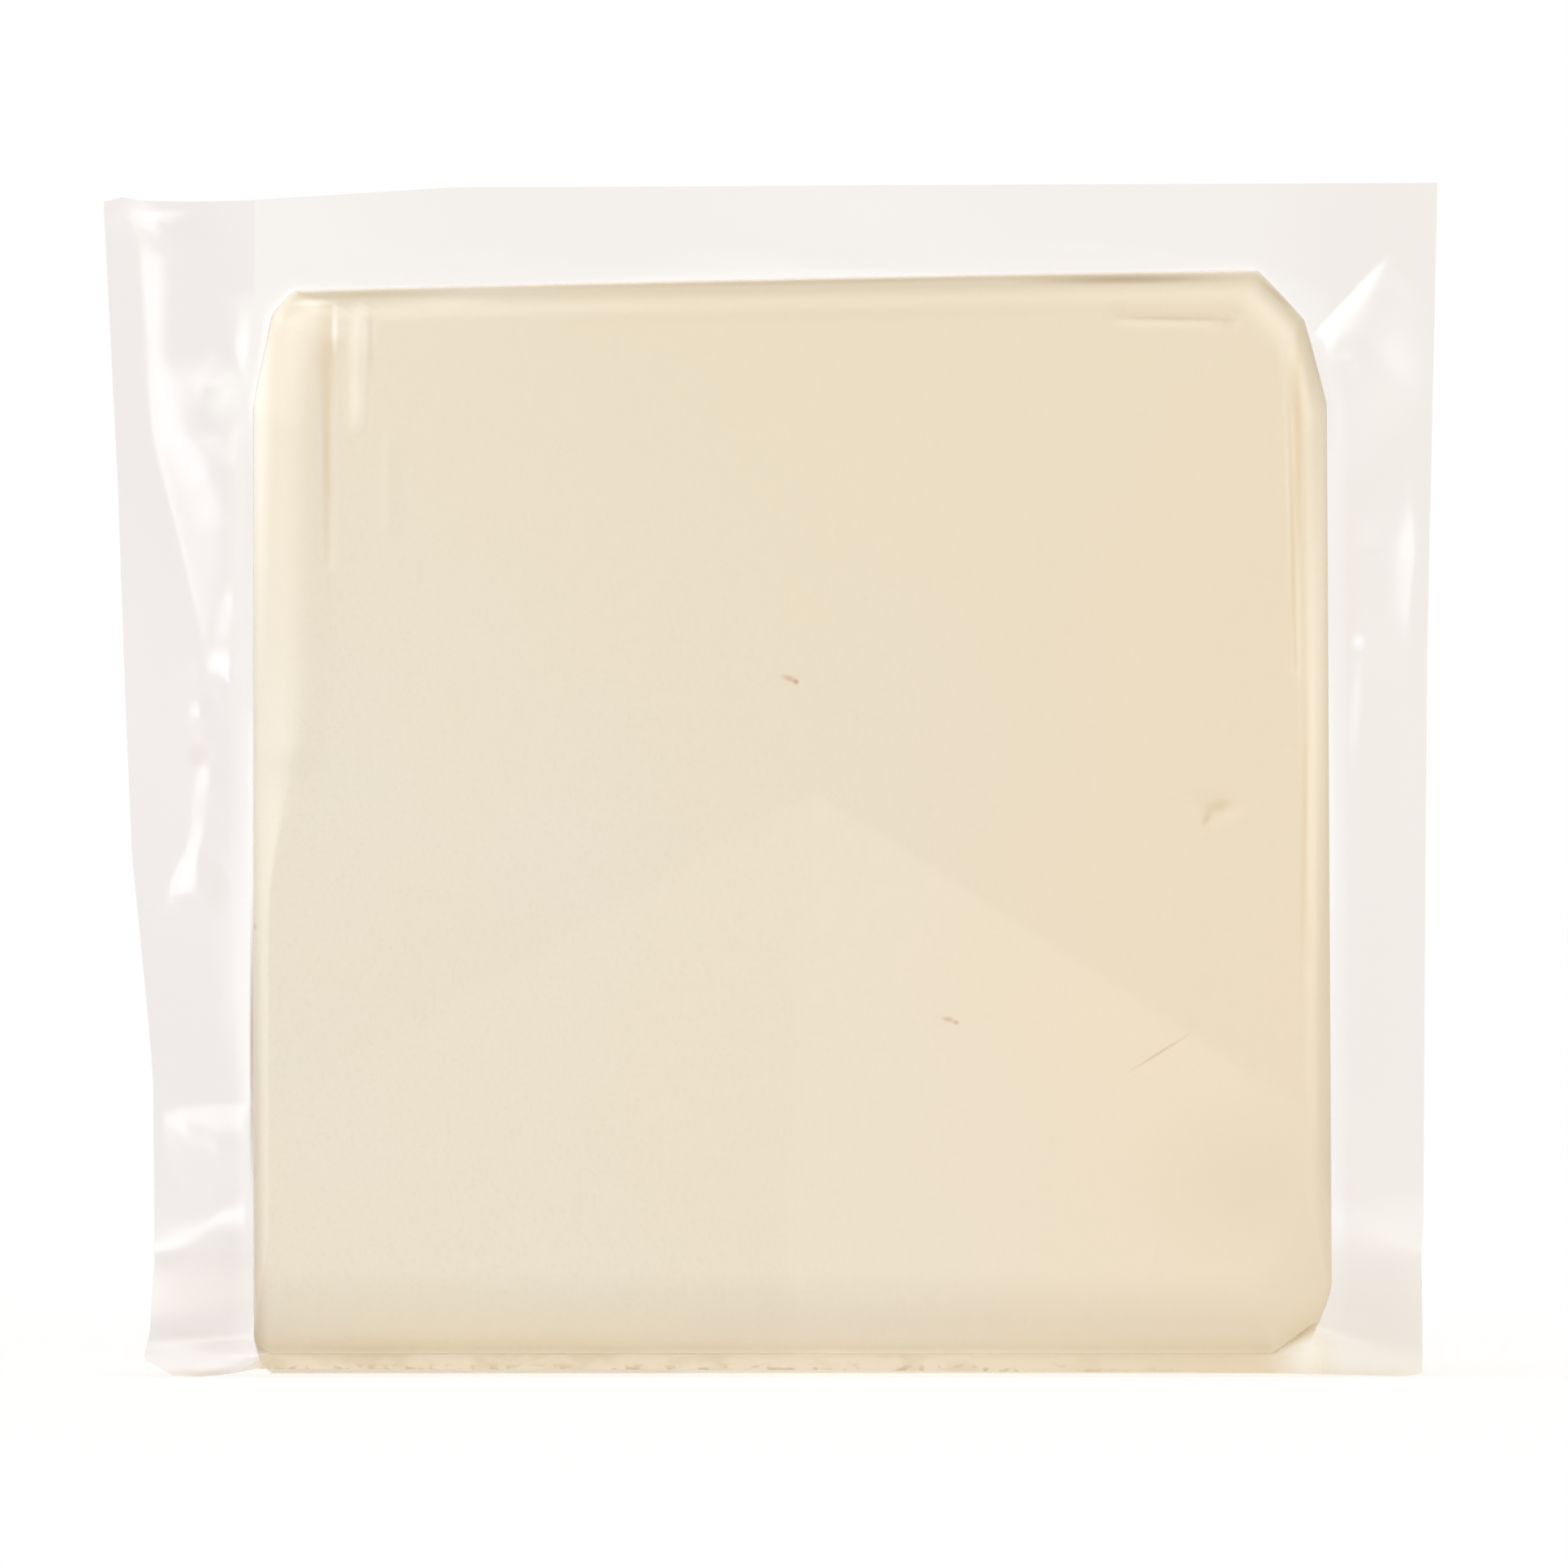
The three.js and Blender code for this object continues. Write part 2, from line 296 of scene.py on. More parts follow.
    def outline(self, place: Array, lines: Array) -> tuple[Array, Array]:
        """X and Z of places on the outline that the four lines of a box make.

        Args:
            place: The places, 0 to 8.
            lines: X or Z of the right, top, left and bottom line, for each place.

        Returns:
            The X and the Z of each place, before the block is put out of square.
        """
        stretch = np.floor(place).astype(int) % 8
        along = place - np.floor(place)
        corner = stretch // 2
        in_corner = self._corner_point(corner, along, lines)
        start = self._corner_point((corner + 3) % 4, np.ones_like(along), lines)
        end = self._corner_point(corner, np.zeros_like(along), lines)
        on_side = stretch % 2 == 0
        return tuple(np.where(on_side, mix(start[i], end[i], along), in_corner[i]) for i in (0, 1))

    def lines(self, front: Array, back: Array, skin: float) -> Array:
        """The box's lines, each moved in by its share of the front and back rounding."""
        full = (self.right - skin, self.height - skin, self.left + skin, skin)
        inwards = (-1, -1, 1, 1)
        return np.array([
            full[k] + inwards[k] * (front * self.front_edge[k].face + back * self.back_edge[k].face)
            for k in range(4)
        ])

    def narrowed(self, place: Array) -> Array:
        """Share of the left front rounding's width: less low down, where it is crisper."""
        low_left = smooth((place - self.crisp_from) / self.crisp_blend)
        return 1 - (1 - self.crisp_share) * np.where(place < 2 * Side.BOTTOM + 1, low_left, 0.0)

    def _arcs(self, place: Array) -> tuple[Array, Array, Array]:
        """Lengths of the front rounding, the straight side and the back rounding."""
        deep_front = self.side_value(place, [e.deep for e in self.front_edge])
        deep_back = self.side_value(place, [e.deep for e in self.back_edge])
        face_front = self.side_value(place, [e.face for e in self.front_edge])
        face_back = self.side_value(place, [e.face for e in self.back_edge])
        straight = self.depth - 2 * self.crown - deep_front - deep_back
        quarter = [QUARTER_TURN * np.hypot(f, d) / math.sqrt(2)
                   for f, d in ((face_front, deep_front), (face_back, deep_back))]
        return quarter[0], straight, quarter[1]

    def surface(self, place: Array, arc: Array, skin: float) -> Array:
        """Points of the sides, from the rim of the front face to that of the back face.

        Args:
            place: Places on the outline, 0 to 8.
            arc: How far behind the front face's rim each is, along the surface.
            skin: How far inside the film's outer face the surface lies.

        Returns:
            An array of X, Y and Z rows, in millimetres.
        """
        front_arc, straight, back_arc = self._arcs(place)
        front_turn = np.clip(arc / front_arc, 0, 1) * QUARTER_TURN
        back_turn = np.clip((arc - front_arc - straight) / back_arc, 0, 1) * QUARTER_TURN
        front_inset = 1 - np.sin(front_turn)
        lines = self.lines(front_inset, 1 - np.cos(back_turn), skin)
        spared = (1 - self.narrowed(place)) * front_inset * self.front_edge[Side.LEFT].face
        lines[Side.LEFT] -= spared
        x, z = self.outline(place, lines)
        deep_front = self.side_value(place, [e.deep for e in self.front_edge])
        deep_back = self.side_value(place, [e.deep for e in self.back_edge])
        y = (-(self.depth / 2 - self.crown) + deep_front * (1 - np.cos(front_turn))
             + np.clip(arc - front_arc, 0, straight) + deep_back * np.sin(back_turn))
        inner = 1 - 2 * skin / self.depth
        return np.array([x, y * inner, z])

    def sweep(self, place: Array, late: float = 0.0) -> Array:
        """How far the margin is swept forward at a place.

        Args:
            place: Places on the outline, 0 to 8.
            late: How much lower than at the block the fold starts.

        Returns:
            0 for not at all, 1 for fully, as under the foot.
        """
        no_inset = np.zeros_like(place)
        _, z = self.outline(place, self.lines(no_inset, no_inset, 0.0))
        start = self.fold_start - late
        return smooth((start - z) / (start - self.fold_end))

    def root_depth(self, place: Array) -> Array:
        """How far in front of the middle plane the margin leaves the block."""
        lip = self.side_value(place, (0, 0, 0, 1))
        return self.sweep(place) * mix(self.fold_forward, self.lip_root, lip)

    def root_arc(self, place: Array) -> Array:
        """The same place, as the distance behind the front face's rim."""
        front_arc, _, _ = self._arcs(place)
        deep = self.side_value(place, [e.deep for e in self.front_edge])
        behind_rim = self.depth / 2 - self.crown - self.root_depth(place)
        turn = np.arccos(np.clip(1 - behind_rim / deep, 0, 1)) / QUARTER_TURN
        return np.where(behind_rim < deep, turn * front_arc, front_arc + behind_rim - deep)

    def whole_arc(self, place: Array) -> Array:
        """The distance from the front face's rim to the back one's, along the surface."""
        return sum(self._arcs(place))

    def put_in_pack(self, points: Array) -> Array:
        """Puts points a little out of square, as the slice was cut, and in their place."""
        x, y, z = points
        across = (x - self.left) / (self.right - self.left)
        up = z / self.height
        lean_x = self.left + across * (self.right - self.left - self.width_lost_at_top * up)
        bow = self.top_bow * (1 - (2 * across - 1) ** 4)
        return np.array([lean_x, y, z + up * (bow - self.height_lost_at_left * (1 - across))])


@dataclass(frozen=True)
class Grid:
    """How the steps of a mesh are spread over the block, closer where detail needs it.

    Attributes:
        columns: Steps across, and rows: steps up.
        front_rows: Steps from the front face to the margin's root; back_rows: behind it.
        column_knots: Pairs of share of the columns and X; row_knots: the same in Z.
        row_ease: Over 1, the steps in depth are closer towards the front face.
    """

    columns: int = 150
    rows: int = 146
    front_rows: int = 18
    back_rows: int = 10
    column_knots: tuple[Point, ...] = ((0, -50.2), (0.3, -34.0), (0.86, 45.0), (1, 50.4))
    row_knots: tuple[Point, ...] = ((0, 0), (0.14, 12.0), (0.88, 95.0), (1, 103.2))
    row_ease: float = 1.3

    @property
    def depth_rows(self) -> int:
        """All steps in depth, with the one that carries the margin."""
        return self.front_rows + 1 + self.back_rows

    def cube(self) -> BMesh:
        """A closed cube of the grid's steps, which keeps its own places in a layer.

        Returns:
            The mesh; its layer cube holds X, Y and Z from -1 to 1.
        """
        mesh = bmesh.new()
        bmesh.ops.create_cube(mesh, size=2.0)
        for axis, steps in enumerate((self.columns, self.depth_rows, self.rows)):
            edges = [e for e in mesh.edges if abs(e.verts[0].co[axis] - e.verts[1].co[axis]) > 1.0]
            bmesh.ops.subdivide_edges(mesh, edges=edges, cuts=steps - 1, use_grid_fill=True)
        layer = mesh.verts.layers.float_vector.new("cube")
        for vertex in mesh.verts:
            vertex[layer] = vertex.co
        return mesh

    def shares(self, cube: Array) -> tuple[Array, Array]:
        """Shares of the block's half width and half height for places on the cube."""
        found = []
        for axis, knots in ((0, self.column_knots), (2, self.row_knots)):
            at, place = np.array(knots).T
            real = np.interp((cube[:, axis] + 1) / 2, at, place)
            found.append(2 * (real - place[0]) / (place[-1] - place[0]) - 1)
        return found[0], found[1]

    def arc(self, block: Block, place: Array, depth: Array) -> Array:
        """How far behind the front face's rim a depth of the cube, 0 to 1, lies."""
        root = block.root_arc(place)
        half = mix(block.root_half, block.folded_half, block.sweep(place))
        start = self.front_rows / self.depth_rows
        end = (self.front_rows + 1) / self.depth_rows
        front = (root - half) * np.clip(depth / start, 0, 1) ** self.row_ease
        band = 2 * half * np.clip((depth - start) / (end - start), 0, 1)
        back = (block.whole_arc(place) - root - half) * np.clip((depth - end) / (1 - end), 0, 1)
        return front + band + back

    def wrap(self, block: Block, cube: Array, skin: float) -> tuple[Array, Array]:
        """Lays the cube's places on the block.

        Args:
            block: The form to lay them on.
            cube: Rows of X, Y and Z, from -1 to 1.
            skin: How far inside the film's outer face the surface lies.

        Returns:
            The points, as X, Y and Z rows in millimetres, and their outline places.
        """
        across, up = self.shares(cube)
        reach = np.maximum(np.abs(across), np.abs(up))
        safe = np.maximum(reach, 1e-9)
        place = block.outline_place(block.place_on_ring(across / safe, up / safe))
        points = block.surface(place, self.arc(block, place, (cube[:, 1] + 1) / 2), skin)
        edges = [block.front_edge, block.back_edge]
        for is_back, edge in enumerate(edges):
            on_face = np.abs(cube[:, 1] - (2 * is_back - 1)) < 1e-6
            middle_x = (block.left + edge[Side.LEFT].face + block.right - edge[Side.RIGHT].face) / 2
            middle_z = (edge[Side.BOTTOM].face + block.height - edge[Side.TOP].face) / 2
            crown = (2 * is_back - 1) * block.crown * (1 - reach**2)
            points[0] = np.where(on_face, mix(middle_x, points[0], reach), points[0])
            points[1] = np.where(on_face, points[1] + crown, points[1])
            points[2] = np.where(on_face, mix(middle_z, points[2], reach), points[2])
        return points, place


@dataclass(frozen=True)
class FaceRelief:
    """What breaks the flatness of the block's faces, which cheese and film share."""

    front_reach: float = 14.6
    fade: float = 2.6
    # Upright creases of the film near the top left corner, and one along the right
    swellings: tuple[Swelling, ...] = (
        Swelling((-46.4, 100.4), (-46.6, 60.0), 2.6, 0.26),
        Swelling((-43.3, 101.6), (-43.2, 77.0), 0.50, -0.15),
        Swelling((-42.5, 101.4), (-42.5, 97.4), 0.34, 0.14),
        Swelling((-40.2, 101.4), (-40.3, 90.0), 0.75, 0.16),
        Swelling((-39.1, 101.6), (-39.7, 89.0), 0.34, -0.08),
        Swelling((-37.4, 88.4), (-37.4, 80.4), 0.60, 0.07),
        Swelling((46.6, 96.5), (47.3, 66.0), 0.34, -0.16),
        Swelling((47.2, 66.0), (47.9, 38.0), 0.34, -0.08),
        Swelling((48.6, 94.0), (49.0, 40.0), 0.90, 0.10),
        Swelling((30.9, 98.7), (41.8, 98.3), 0.30, -0.18),
        Swelling((31.0, 99.6), (31.0, 98.7), 0.25, -0.10),
        Swelling((30.3, 27.8), (38.0, 32.6), 0.32, -0.10),
        Swelling((37.9, 53.6), (41.4, 53.4), 0.55, -0.14),
        Swelling((39.0, 52.0), (40.6, 53.0), 0.45, -0.16),
    )
    # Long gentle waves of the whole face: wave length, height and direction in degrees
    waves: tuple[tuple[float, float, float], ...] = ((71.0, 0.10, 20.0), (47.0, 0.05, 115.0))
    highest: float = 0.16
    back_wave: float = 0.1
    back_wave_run: Point = (11.0, 14.0)

    def apply(self, points: Array) -> Array:
        """Moves the front face's points in depth, and gently waves both faces."""
        x, y, z = points
        front = smooth((-y - self.front_reach) / self.fade)
        relief = sum(swelling.at(x, z) for swelling in self.swellings)
        for length, height, heading in self.waves:
            turn = math.radians(heading)
            run = x * math.cos(turn) + z * math.sin(turn)
            relief = relief + height * (np.sin(2 * math.pi * run / length) - 1) / 2
        relief = np.minimum(relief, self.highest)
        back = smooth((y - self.front_reach) / self.fade)
        run_x, run_z = self.back_wave_run
        wave = self.back_wave * (np.sin(x / run_x) * np.sin(z / run_z) - 1)
        return np.array([x, y - relief * front + wave * back, z])


# ---- Meshes and materials ----------------------------------------------------


def coordinates(mesh: BMesh, layer: str) -> Array:
    """A vector layer of a mesh, as rows of X, Y and Z."""
    key = mesh.verts.layers.float_vector[layer]
    return np.array([vertex[key] for vertex in mesh.verts])


def write_points(mesh: BMesh, points: Array) -> None:
    """Gives the vertices their places, from columns of X, Y and Z in millimetres."""
    for vertex, place in zip(mesh.verts, (points * MM).T):
        vertex.co = place


def add_piece(name: str, mesh: BMesh, material: bpy.types.Material) -> bpy.types.Object:
    """Makes a smooth object from a mesh, at the origin, and dresses it.

    Args:
        name: The piece's name.
        mesh: Its mesh, which is freed.
        material: Its finish.

    Returns:
        The new object.
    """
    bmesh.ops.recalc_face_normals(mesh, faces=mesh.faces)
    for face in mesh.faces:
        face.smooth = True
    data = bpy.data.meshes.new(name)
    mesh.to_mesh(data)
    mesh.free()
    data.materials.append(material)
    piece = bpy.data.objects.new(name, data)
    bpy.context.scene.collection.objects.link(piece)
    return piece


def add_node(
    tree: Tree,
    kind: str,
    values: dict[int | str, object] | None = None,
    links: dict[int | str, Socket] | None = None,
    **settings: object,
) -> bpy.types.Node:
    """Adds a node with its settings and links.

    Args:
        tree: The node tree.
        kind: The node's type.
        values: Values of input sockets, by name or number.
        links: Sockets that feed its inputs, by name or number.
        settings: The node's own properties.

    Returns:
        The node.
    """
    node = tree.nodes.new(kind)
    for name, value in settings.items():
        setattr(node, name, value)
    for socket, value in (values or {}).items():
        node.inputs[socket].default_value = value
    for socket, source in (links or {}).items():
        tree.links.new(source, node.inputs[socket])
    return node


def new_material(name: str) -> tuple[bpy.types.Material, Tree]:
    """A material with an empty node tree."""
    material = bpy.data.materials.new(name)
    material.use_nodes = True
    material.node_tree.nodes.clear()
    return material, material.node_tree


# Sockets of the Mix node for colours
FACTOR, COLOUR_A, COLOUR_B, COLOUR_OUT = 0, 6, 7, 2


def mixed_colour(tree: Tree, factor: Socket, first: Socket | str, second: Socket | str) -> Socket:
    """Mixes two colours, each a socket or a hex colour, by a factor.

    Args:
        tree: The node tree.
        factor: 0 for the first colour, 1 for the second.
        first: The first colour.
        second: The second colour.

    Returns:
        The mixed colour.
    """
    values, links = {}, {FACTOR: factor}
    for socket, colour in ((COLOUR_A, first), (COLOUR_B, second)):
        if isinstance(colour, str):
            values[socket] = linear_colour(colour)
        else:
            links[socket] = colour
    return add_node(tree, "ShaderNodeMix", values, links, data_type="RGBA").outputs[COLOUR_OUT]


def noise(tree: Tree, place: Socket, size: float, detail: float, roughness: float = 0.5) -> Socket:
    """Noise whose patches are about a size in millimetres across."""
    values = {"Scale": 1 / (size * MM), "Detail": detail, "Roughness": roughness}
    return add_node(tree, "ShaderNodeTexNoise", values, {"Vector": place}).outputs[0]


def spread(
    tree: Tree, value: Socket, span: Point, to: Point = (0.0, 1.0), ease: str = "LINEAR"
) -> Socket:
    """Spreads the values of a span over 0 to 1 or another range, and holds those outside it."""
    values = {"From Min": span[0], "From Max": span[1], "To Min": to[0], "To Max": to[1]}
    node = add_node(tree, "ShaderNodeMapRange", values, {"Value": value}, interpolation_type=ease)
    return node.outputs[0]


def calculate(tree: Tree, operation: str, *inputs: Socket | float) -> Socket:
    """What a Math node makes of its inputs, each a socket or a number."""
    values = {i: item for i, item in enumerate(inputs) if isinstance(item, float)}
    links = {i: item for i, item in enumerate(inputs) if not isinstance(item, float)}
    return add_node(tree, "ShaderNodeMath", values, links, operation=operation).outputs[0]


def attribute(tree: Tree, name: str) -> Socket:
    """A number that the mesh keeps at each vertex."""
    return add_node(tree, "ShaderNodeAttribute", attribute_name=name).outputs["Fac"]


@dataclass(frozen=True)
class Mark:
    """A stain, line, painted shade or painted highlight: an ellipsoid that holds the colour, softest at
    its rim.

    Attributes:
        middle: X, Y and Z of its middle, X from the cheese's middle.
        half: Its half sizes along its own X, Y and Z.
        turn: How far it is turned in the front view, in degrees, anticlockwise.
        colour: The colour at its middle.
        strength: How much of that colour shows there.
    """

    middle: tuple[float, float, float]
    half: tuple[float, float, float]
    turn: float
    colour: str
    strength: float

    def over(self, tree: Tree, place: Socket, ground: Socket, shift: float) -> Socket:
        """Lays the mark over a colour.

        Args:
            tree: The node tree.
            place: Object coordinates.
            ground: The colour under the mark.
            shift: How far right of the origin the cheese's middle is.

        Returns:
            The colour with the mark.
        """
        x, y, z = self.middle
        values = {
            "Location": ((x + shift) * MM, y * MM, z * MM),
            "Rotation": (0, math.radians(-self.turn), 0),
            "Scale": tuple(h * MM for h in self.half),
        }
        centred = add_node(
            tree, "ShaderNodeMapping", values, {"Vector": place}, vector_type="TEXTURE"
        ).outputs[0]
        far = add_node(tree, "ShaderNodeVectorMath", links={0: centred}, operation="LENGTH")
        held = spread(tree, far.outputs["Value"], (1.0, 0.0), (0.0, self.strength), "SMOOTHSTEP")
        return mixed_colour(tree, held, ground, self.colour)


def marked(
    tree: Tree, place: Socket, colour: Socket, shift: float, marks: Sequence[Mark]
) -> Socket:
    """Lays marks over a colour, one after the other."""
    for mark in marks:
        colour = mark.over(tree, place, colour, shift)
    return colour


@dataclass(frozen=True)
class CheeseFinish:
    """Young semi-hard cow's milk cheese, cut with a wire and pressed flat by the film.

    To the eye: pale ivory and satin, with a very fine grain of curd and broad clouds
    that are barely warmer or cooler.
    """

    ivory: str = "#e7e0ce"
    warm: str = "#e7dfca"
    cool: str = "#e6e0d0"
    grain_dark: str = "#dfd5bc"
    cloud_mm: float = 26.0
    mottle_mm: float = 2.4
    grain_mm: float = 0.45
    octave_share: float = 0.55
    cloud_span: Point = (0.35, 0.65)
    mottle_span: Point = (0.3, 0.9)
    grain_span: Point = (0.52, 1.3)
    roughness: float = 0.5
    ior: float = 1.45
    bump: float = 0.5
    bump_mm: float = 0.05
    marks: tuple[Mark, ...] = (
        # The right half is a little more orange
        Mark((70.0, 0.0, 45.0), (110.0, 150.0, 150.0), 0.0, "#ebdcbf", 1.0),
        # Painted shade: the top is a little darker. Painted light: the foot, whose rounding lies in
        # shade, is lighter
        Mark((0.0, -10.0, 112.0), (130.0, 60.0, 75.0), 0.0, "#e5d9bd", 0.8),
        Mark((0.0, -11.0, 1.5), (120.0, 12.0, 5.0), 0.0, "#fffbea", 0.8),
        # Painted shade in a band under the top edge
        Mark((5.0, -17.0, 100.2), (56.0, 6.0, 2.6), 1.2, "#d9ccb0", 0.5),
        # Darker low on the right. Painted light at the foot's right corner and along its left part,
        # whose rounding lies in shade
        Mark((43.5, -17.0, 18.0), (17.0, 8.0, 12.0), 0.0, "#dfd2b6", 0.5),
        Mark((48.5, -16.0, 5.0), (6.0, 8.0, 8.0), 0.0, "#f2e8d2", 0.6),
        Mark((-30.0, -16.0, 4.2), (46.0, 8.0, 5.0), 0.0, "#f6ead0", 0.4),
        # A painted highlight down the upper left edge, and painted shade on that edge lower down
        Mark((-49.9, -17.0, 94.0), (1.9, 8.0, 36.0), 0.0, "#fffcf2", 0.8),
        Mark((-50.4, -15.0, 10.0), (1.9, 12.0, 46.0), 0.0, "#cbbda4", 0.9),
        # Two reddish nicks, and painted shade on the floor of a dent
        Mark((-0.2, -18.3, 65.0), (1.2, 3.0, 0.45), -20.0, "#cf9a80", 0.65),
        Mark((0.4, -18.3, 64.7), (0.4, 3.0, 0.35), 0.0, "#bd755e", 0.7),
        Mark((14.6, -18.3, 33.3), (1.0, 3.0, 0.4), -15.0, "#cf9c86", 0.6),
        Mark((15.3, -18.3, 33.0), (0.35, 3.0, 0.3), 0.0, "#bd7c66", 0.6),
        Mark((39.6, -18.3, 53.1), (2.3, 3.0, 1.0), 12.0, "#dcc8a2", 0.75),
        Mark((38.6, -18.3, 52.0), (0.6, 3.0, 1.2), -30.0, "#cdb58d", 0.5),
        # Painted shade in short creases near the top right and low down on the right
        Mark((35.5, -18.3, 98.5), (8.2, 3.0, 0.34), -1.0, "#d6c4a6", 0.6),
        Mark((34.2, -18.3, 30.2), (4.8, 3.0, 0.22), 32.0, "#d0ba98", 0.7),
        # Painted shade in the crease down the right, and painted light on the yellower strip of the
        # rounding beyond it
        Mark((49.0, -17.0, 68.0), (1.7, 6.0, 42.0), -1.0, "#faf0d8", 0.9),
        Mark((46.9, -17.6, 84.5), (0.75, 3.0, 24.0), -1.2, "#dfc79c", 0.65),
        Mark((47.7, -17.6, 52.0), (0.5, 3.0, 20.0), -1.0, "#e0caa2", 0.45),
        # Painted shade in the film's creases down from the top left
        Mark((-43.15, -18.0, 86.5), (0.9, 3.0, 16.0), 0.4, "#cdb792", 0.45),
        Mark((-43.3, -18.0, 95.5), (1.5, 3.0, 8.0), 0.0, "#d8c6a5", 0.55),
        Mark((-39.2, -18.0, 96.4), (0.5, 3.0, 5.0), 3.0, "#d2bc98", 0.4),
        # Painted highlights of the drawn film between them, and under the top edge
        Mark((-42.5, -18.0, 97.6), (0.45, 3.0, 3.2), 0.0, "#fbf6ea", 0.9),
        Mark((-40.1, -18.0, 97.4), (1.5, 3.0, 4.5), 0.0, "#f6eedd", 0.8),
        Mark((-40.3, -18.0, 91.4), (1.1, 3.0, 6.5), 0.0, "#f6eedd", 0.7),
        Mark((-44.8, -18.0, 100.0), (3.4, 3.0, 0.6), 2.0, "#fffbf0", 0.9),
        Mark((-47.9, -18.0, 98.5), (2.2, 3.0, 0.7), 68.0, "#fffbf0", 0.9),
        Mark((-32.2, -18.0, 100.1), (7.5, 3.0, 0.9), 1.5, "#f3ead8", 0.6),
        # Painted shade along the top edge, round its right corner and down the left edge
        Mark((3.0, -16.6, 102.1), (47.0, 8.0, 0.55), 1.2, "#cdb994", 0.8),
        Mark((-40.0, -16.6, 100.9), (12.0, 8.0, 0.8), 1.6, "#cbb892", 0.5),
        Mark((31.0, -16.8, 102.2), (13.0, 8.0, 0.7), 0.6, "#a98f66", 0.6),
        Mark((45.4, -16.0, 100.6), (3.6, 8.0, 0.5), -41.0, "#b99c72", 0.35),
        Mark((48.8, -16.0, 94.6), (4.6, 8.0, 0.4), -75.0, "#c4a77e", 0.2),
        Mark((-50.0, -15.0, 41.9), (0.45, 3.0, 0.5), 0.0, "#b98f62", 0.8),
    )

    def build(self, shift: float) -> bpy.types.Material:
        """Makes the cheese's material.

        Args:
            shift: How far right of the origin the cheese's middle is, in millimetres.

        Returns:
            The material.
        """
        material, tree = new_material("semi_hard_cheese")
        place = add_node(tree, "ShaderNodeTexCoord").outputs["Object"]
        cloud = noise(tree, place, self.cloud_mm, 2.0, self.octave_share)
        mottle = noise(tree, place, self.mottle_mm, 3.0, self.octave_share)
        grain = noise(tree, place, self.grain_mm, 1.0, self.octave_share)
        colour = mixed_colour(tree, spread(tree, cloud, self.cloud_span), self.warm, self.cool)
        colour = mixed_colour(tree, spread(tree, mottle, self.mottle_span), colour, self.ivory)
        colour = mixed_colour(tree, spread(tree, grain, self.grain_span), colour, self.grain_dark)
        colour = marked(tree, place, colour, shift, self.marks)
        values = {"Strength": self.bump, "Distance": self.bump_mm * MM}
        bump = add_node(tree, "ShaderNodeBump", values, {"Height": grain})
        body = add_node(
            tree, "ShaderNodeBsdfPrincipled",
            {"Roughness": self.roughness, "IOR": self.ior},
            {"Base Color": colour, "Normal": bump.outputs["Normal"]},
        )
        add_node(tree, "ShaderNodeOutputMaterial", links={"Surface": body.outputs["BSDF"]})
        return material


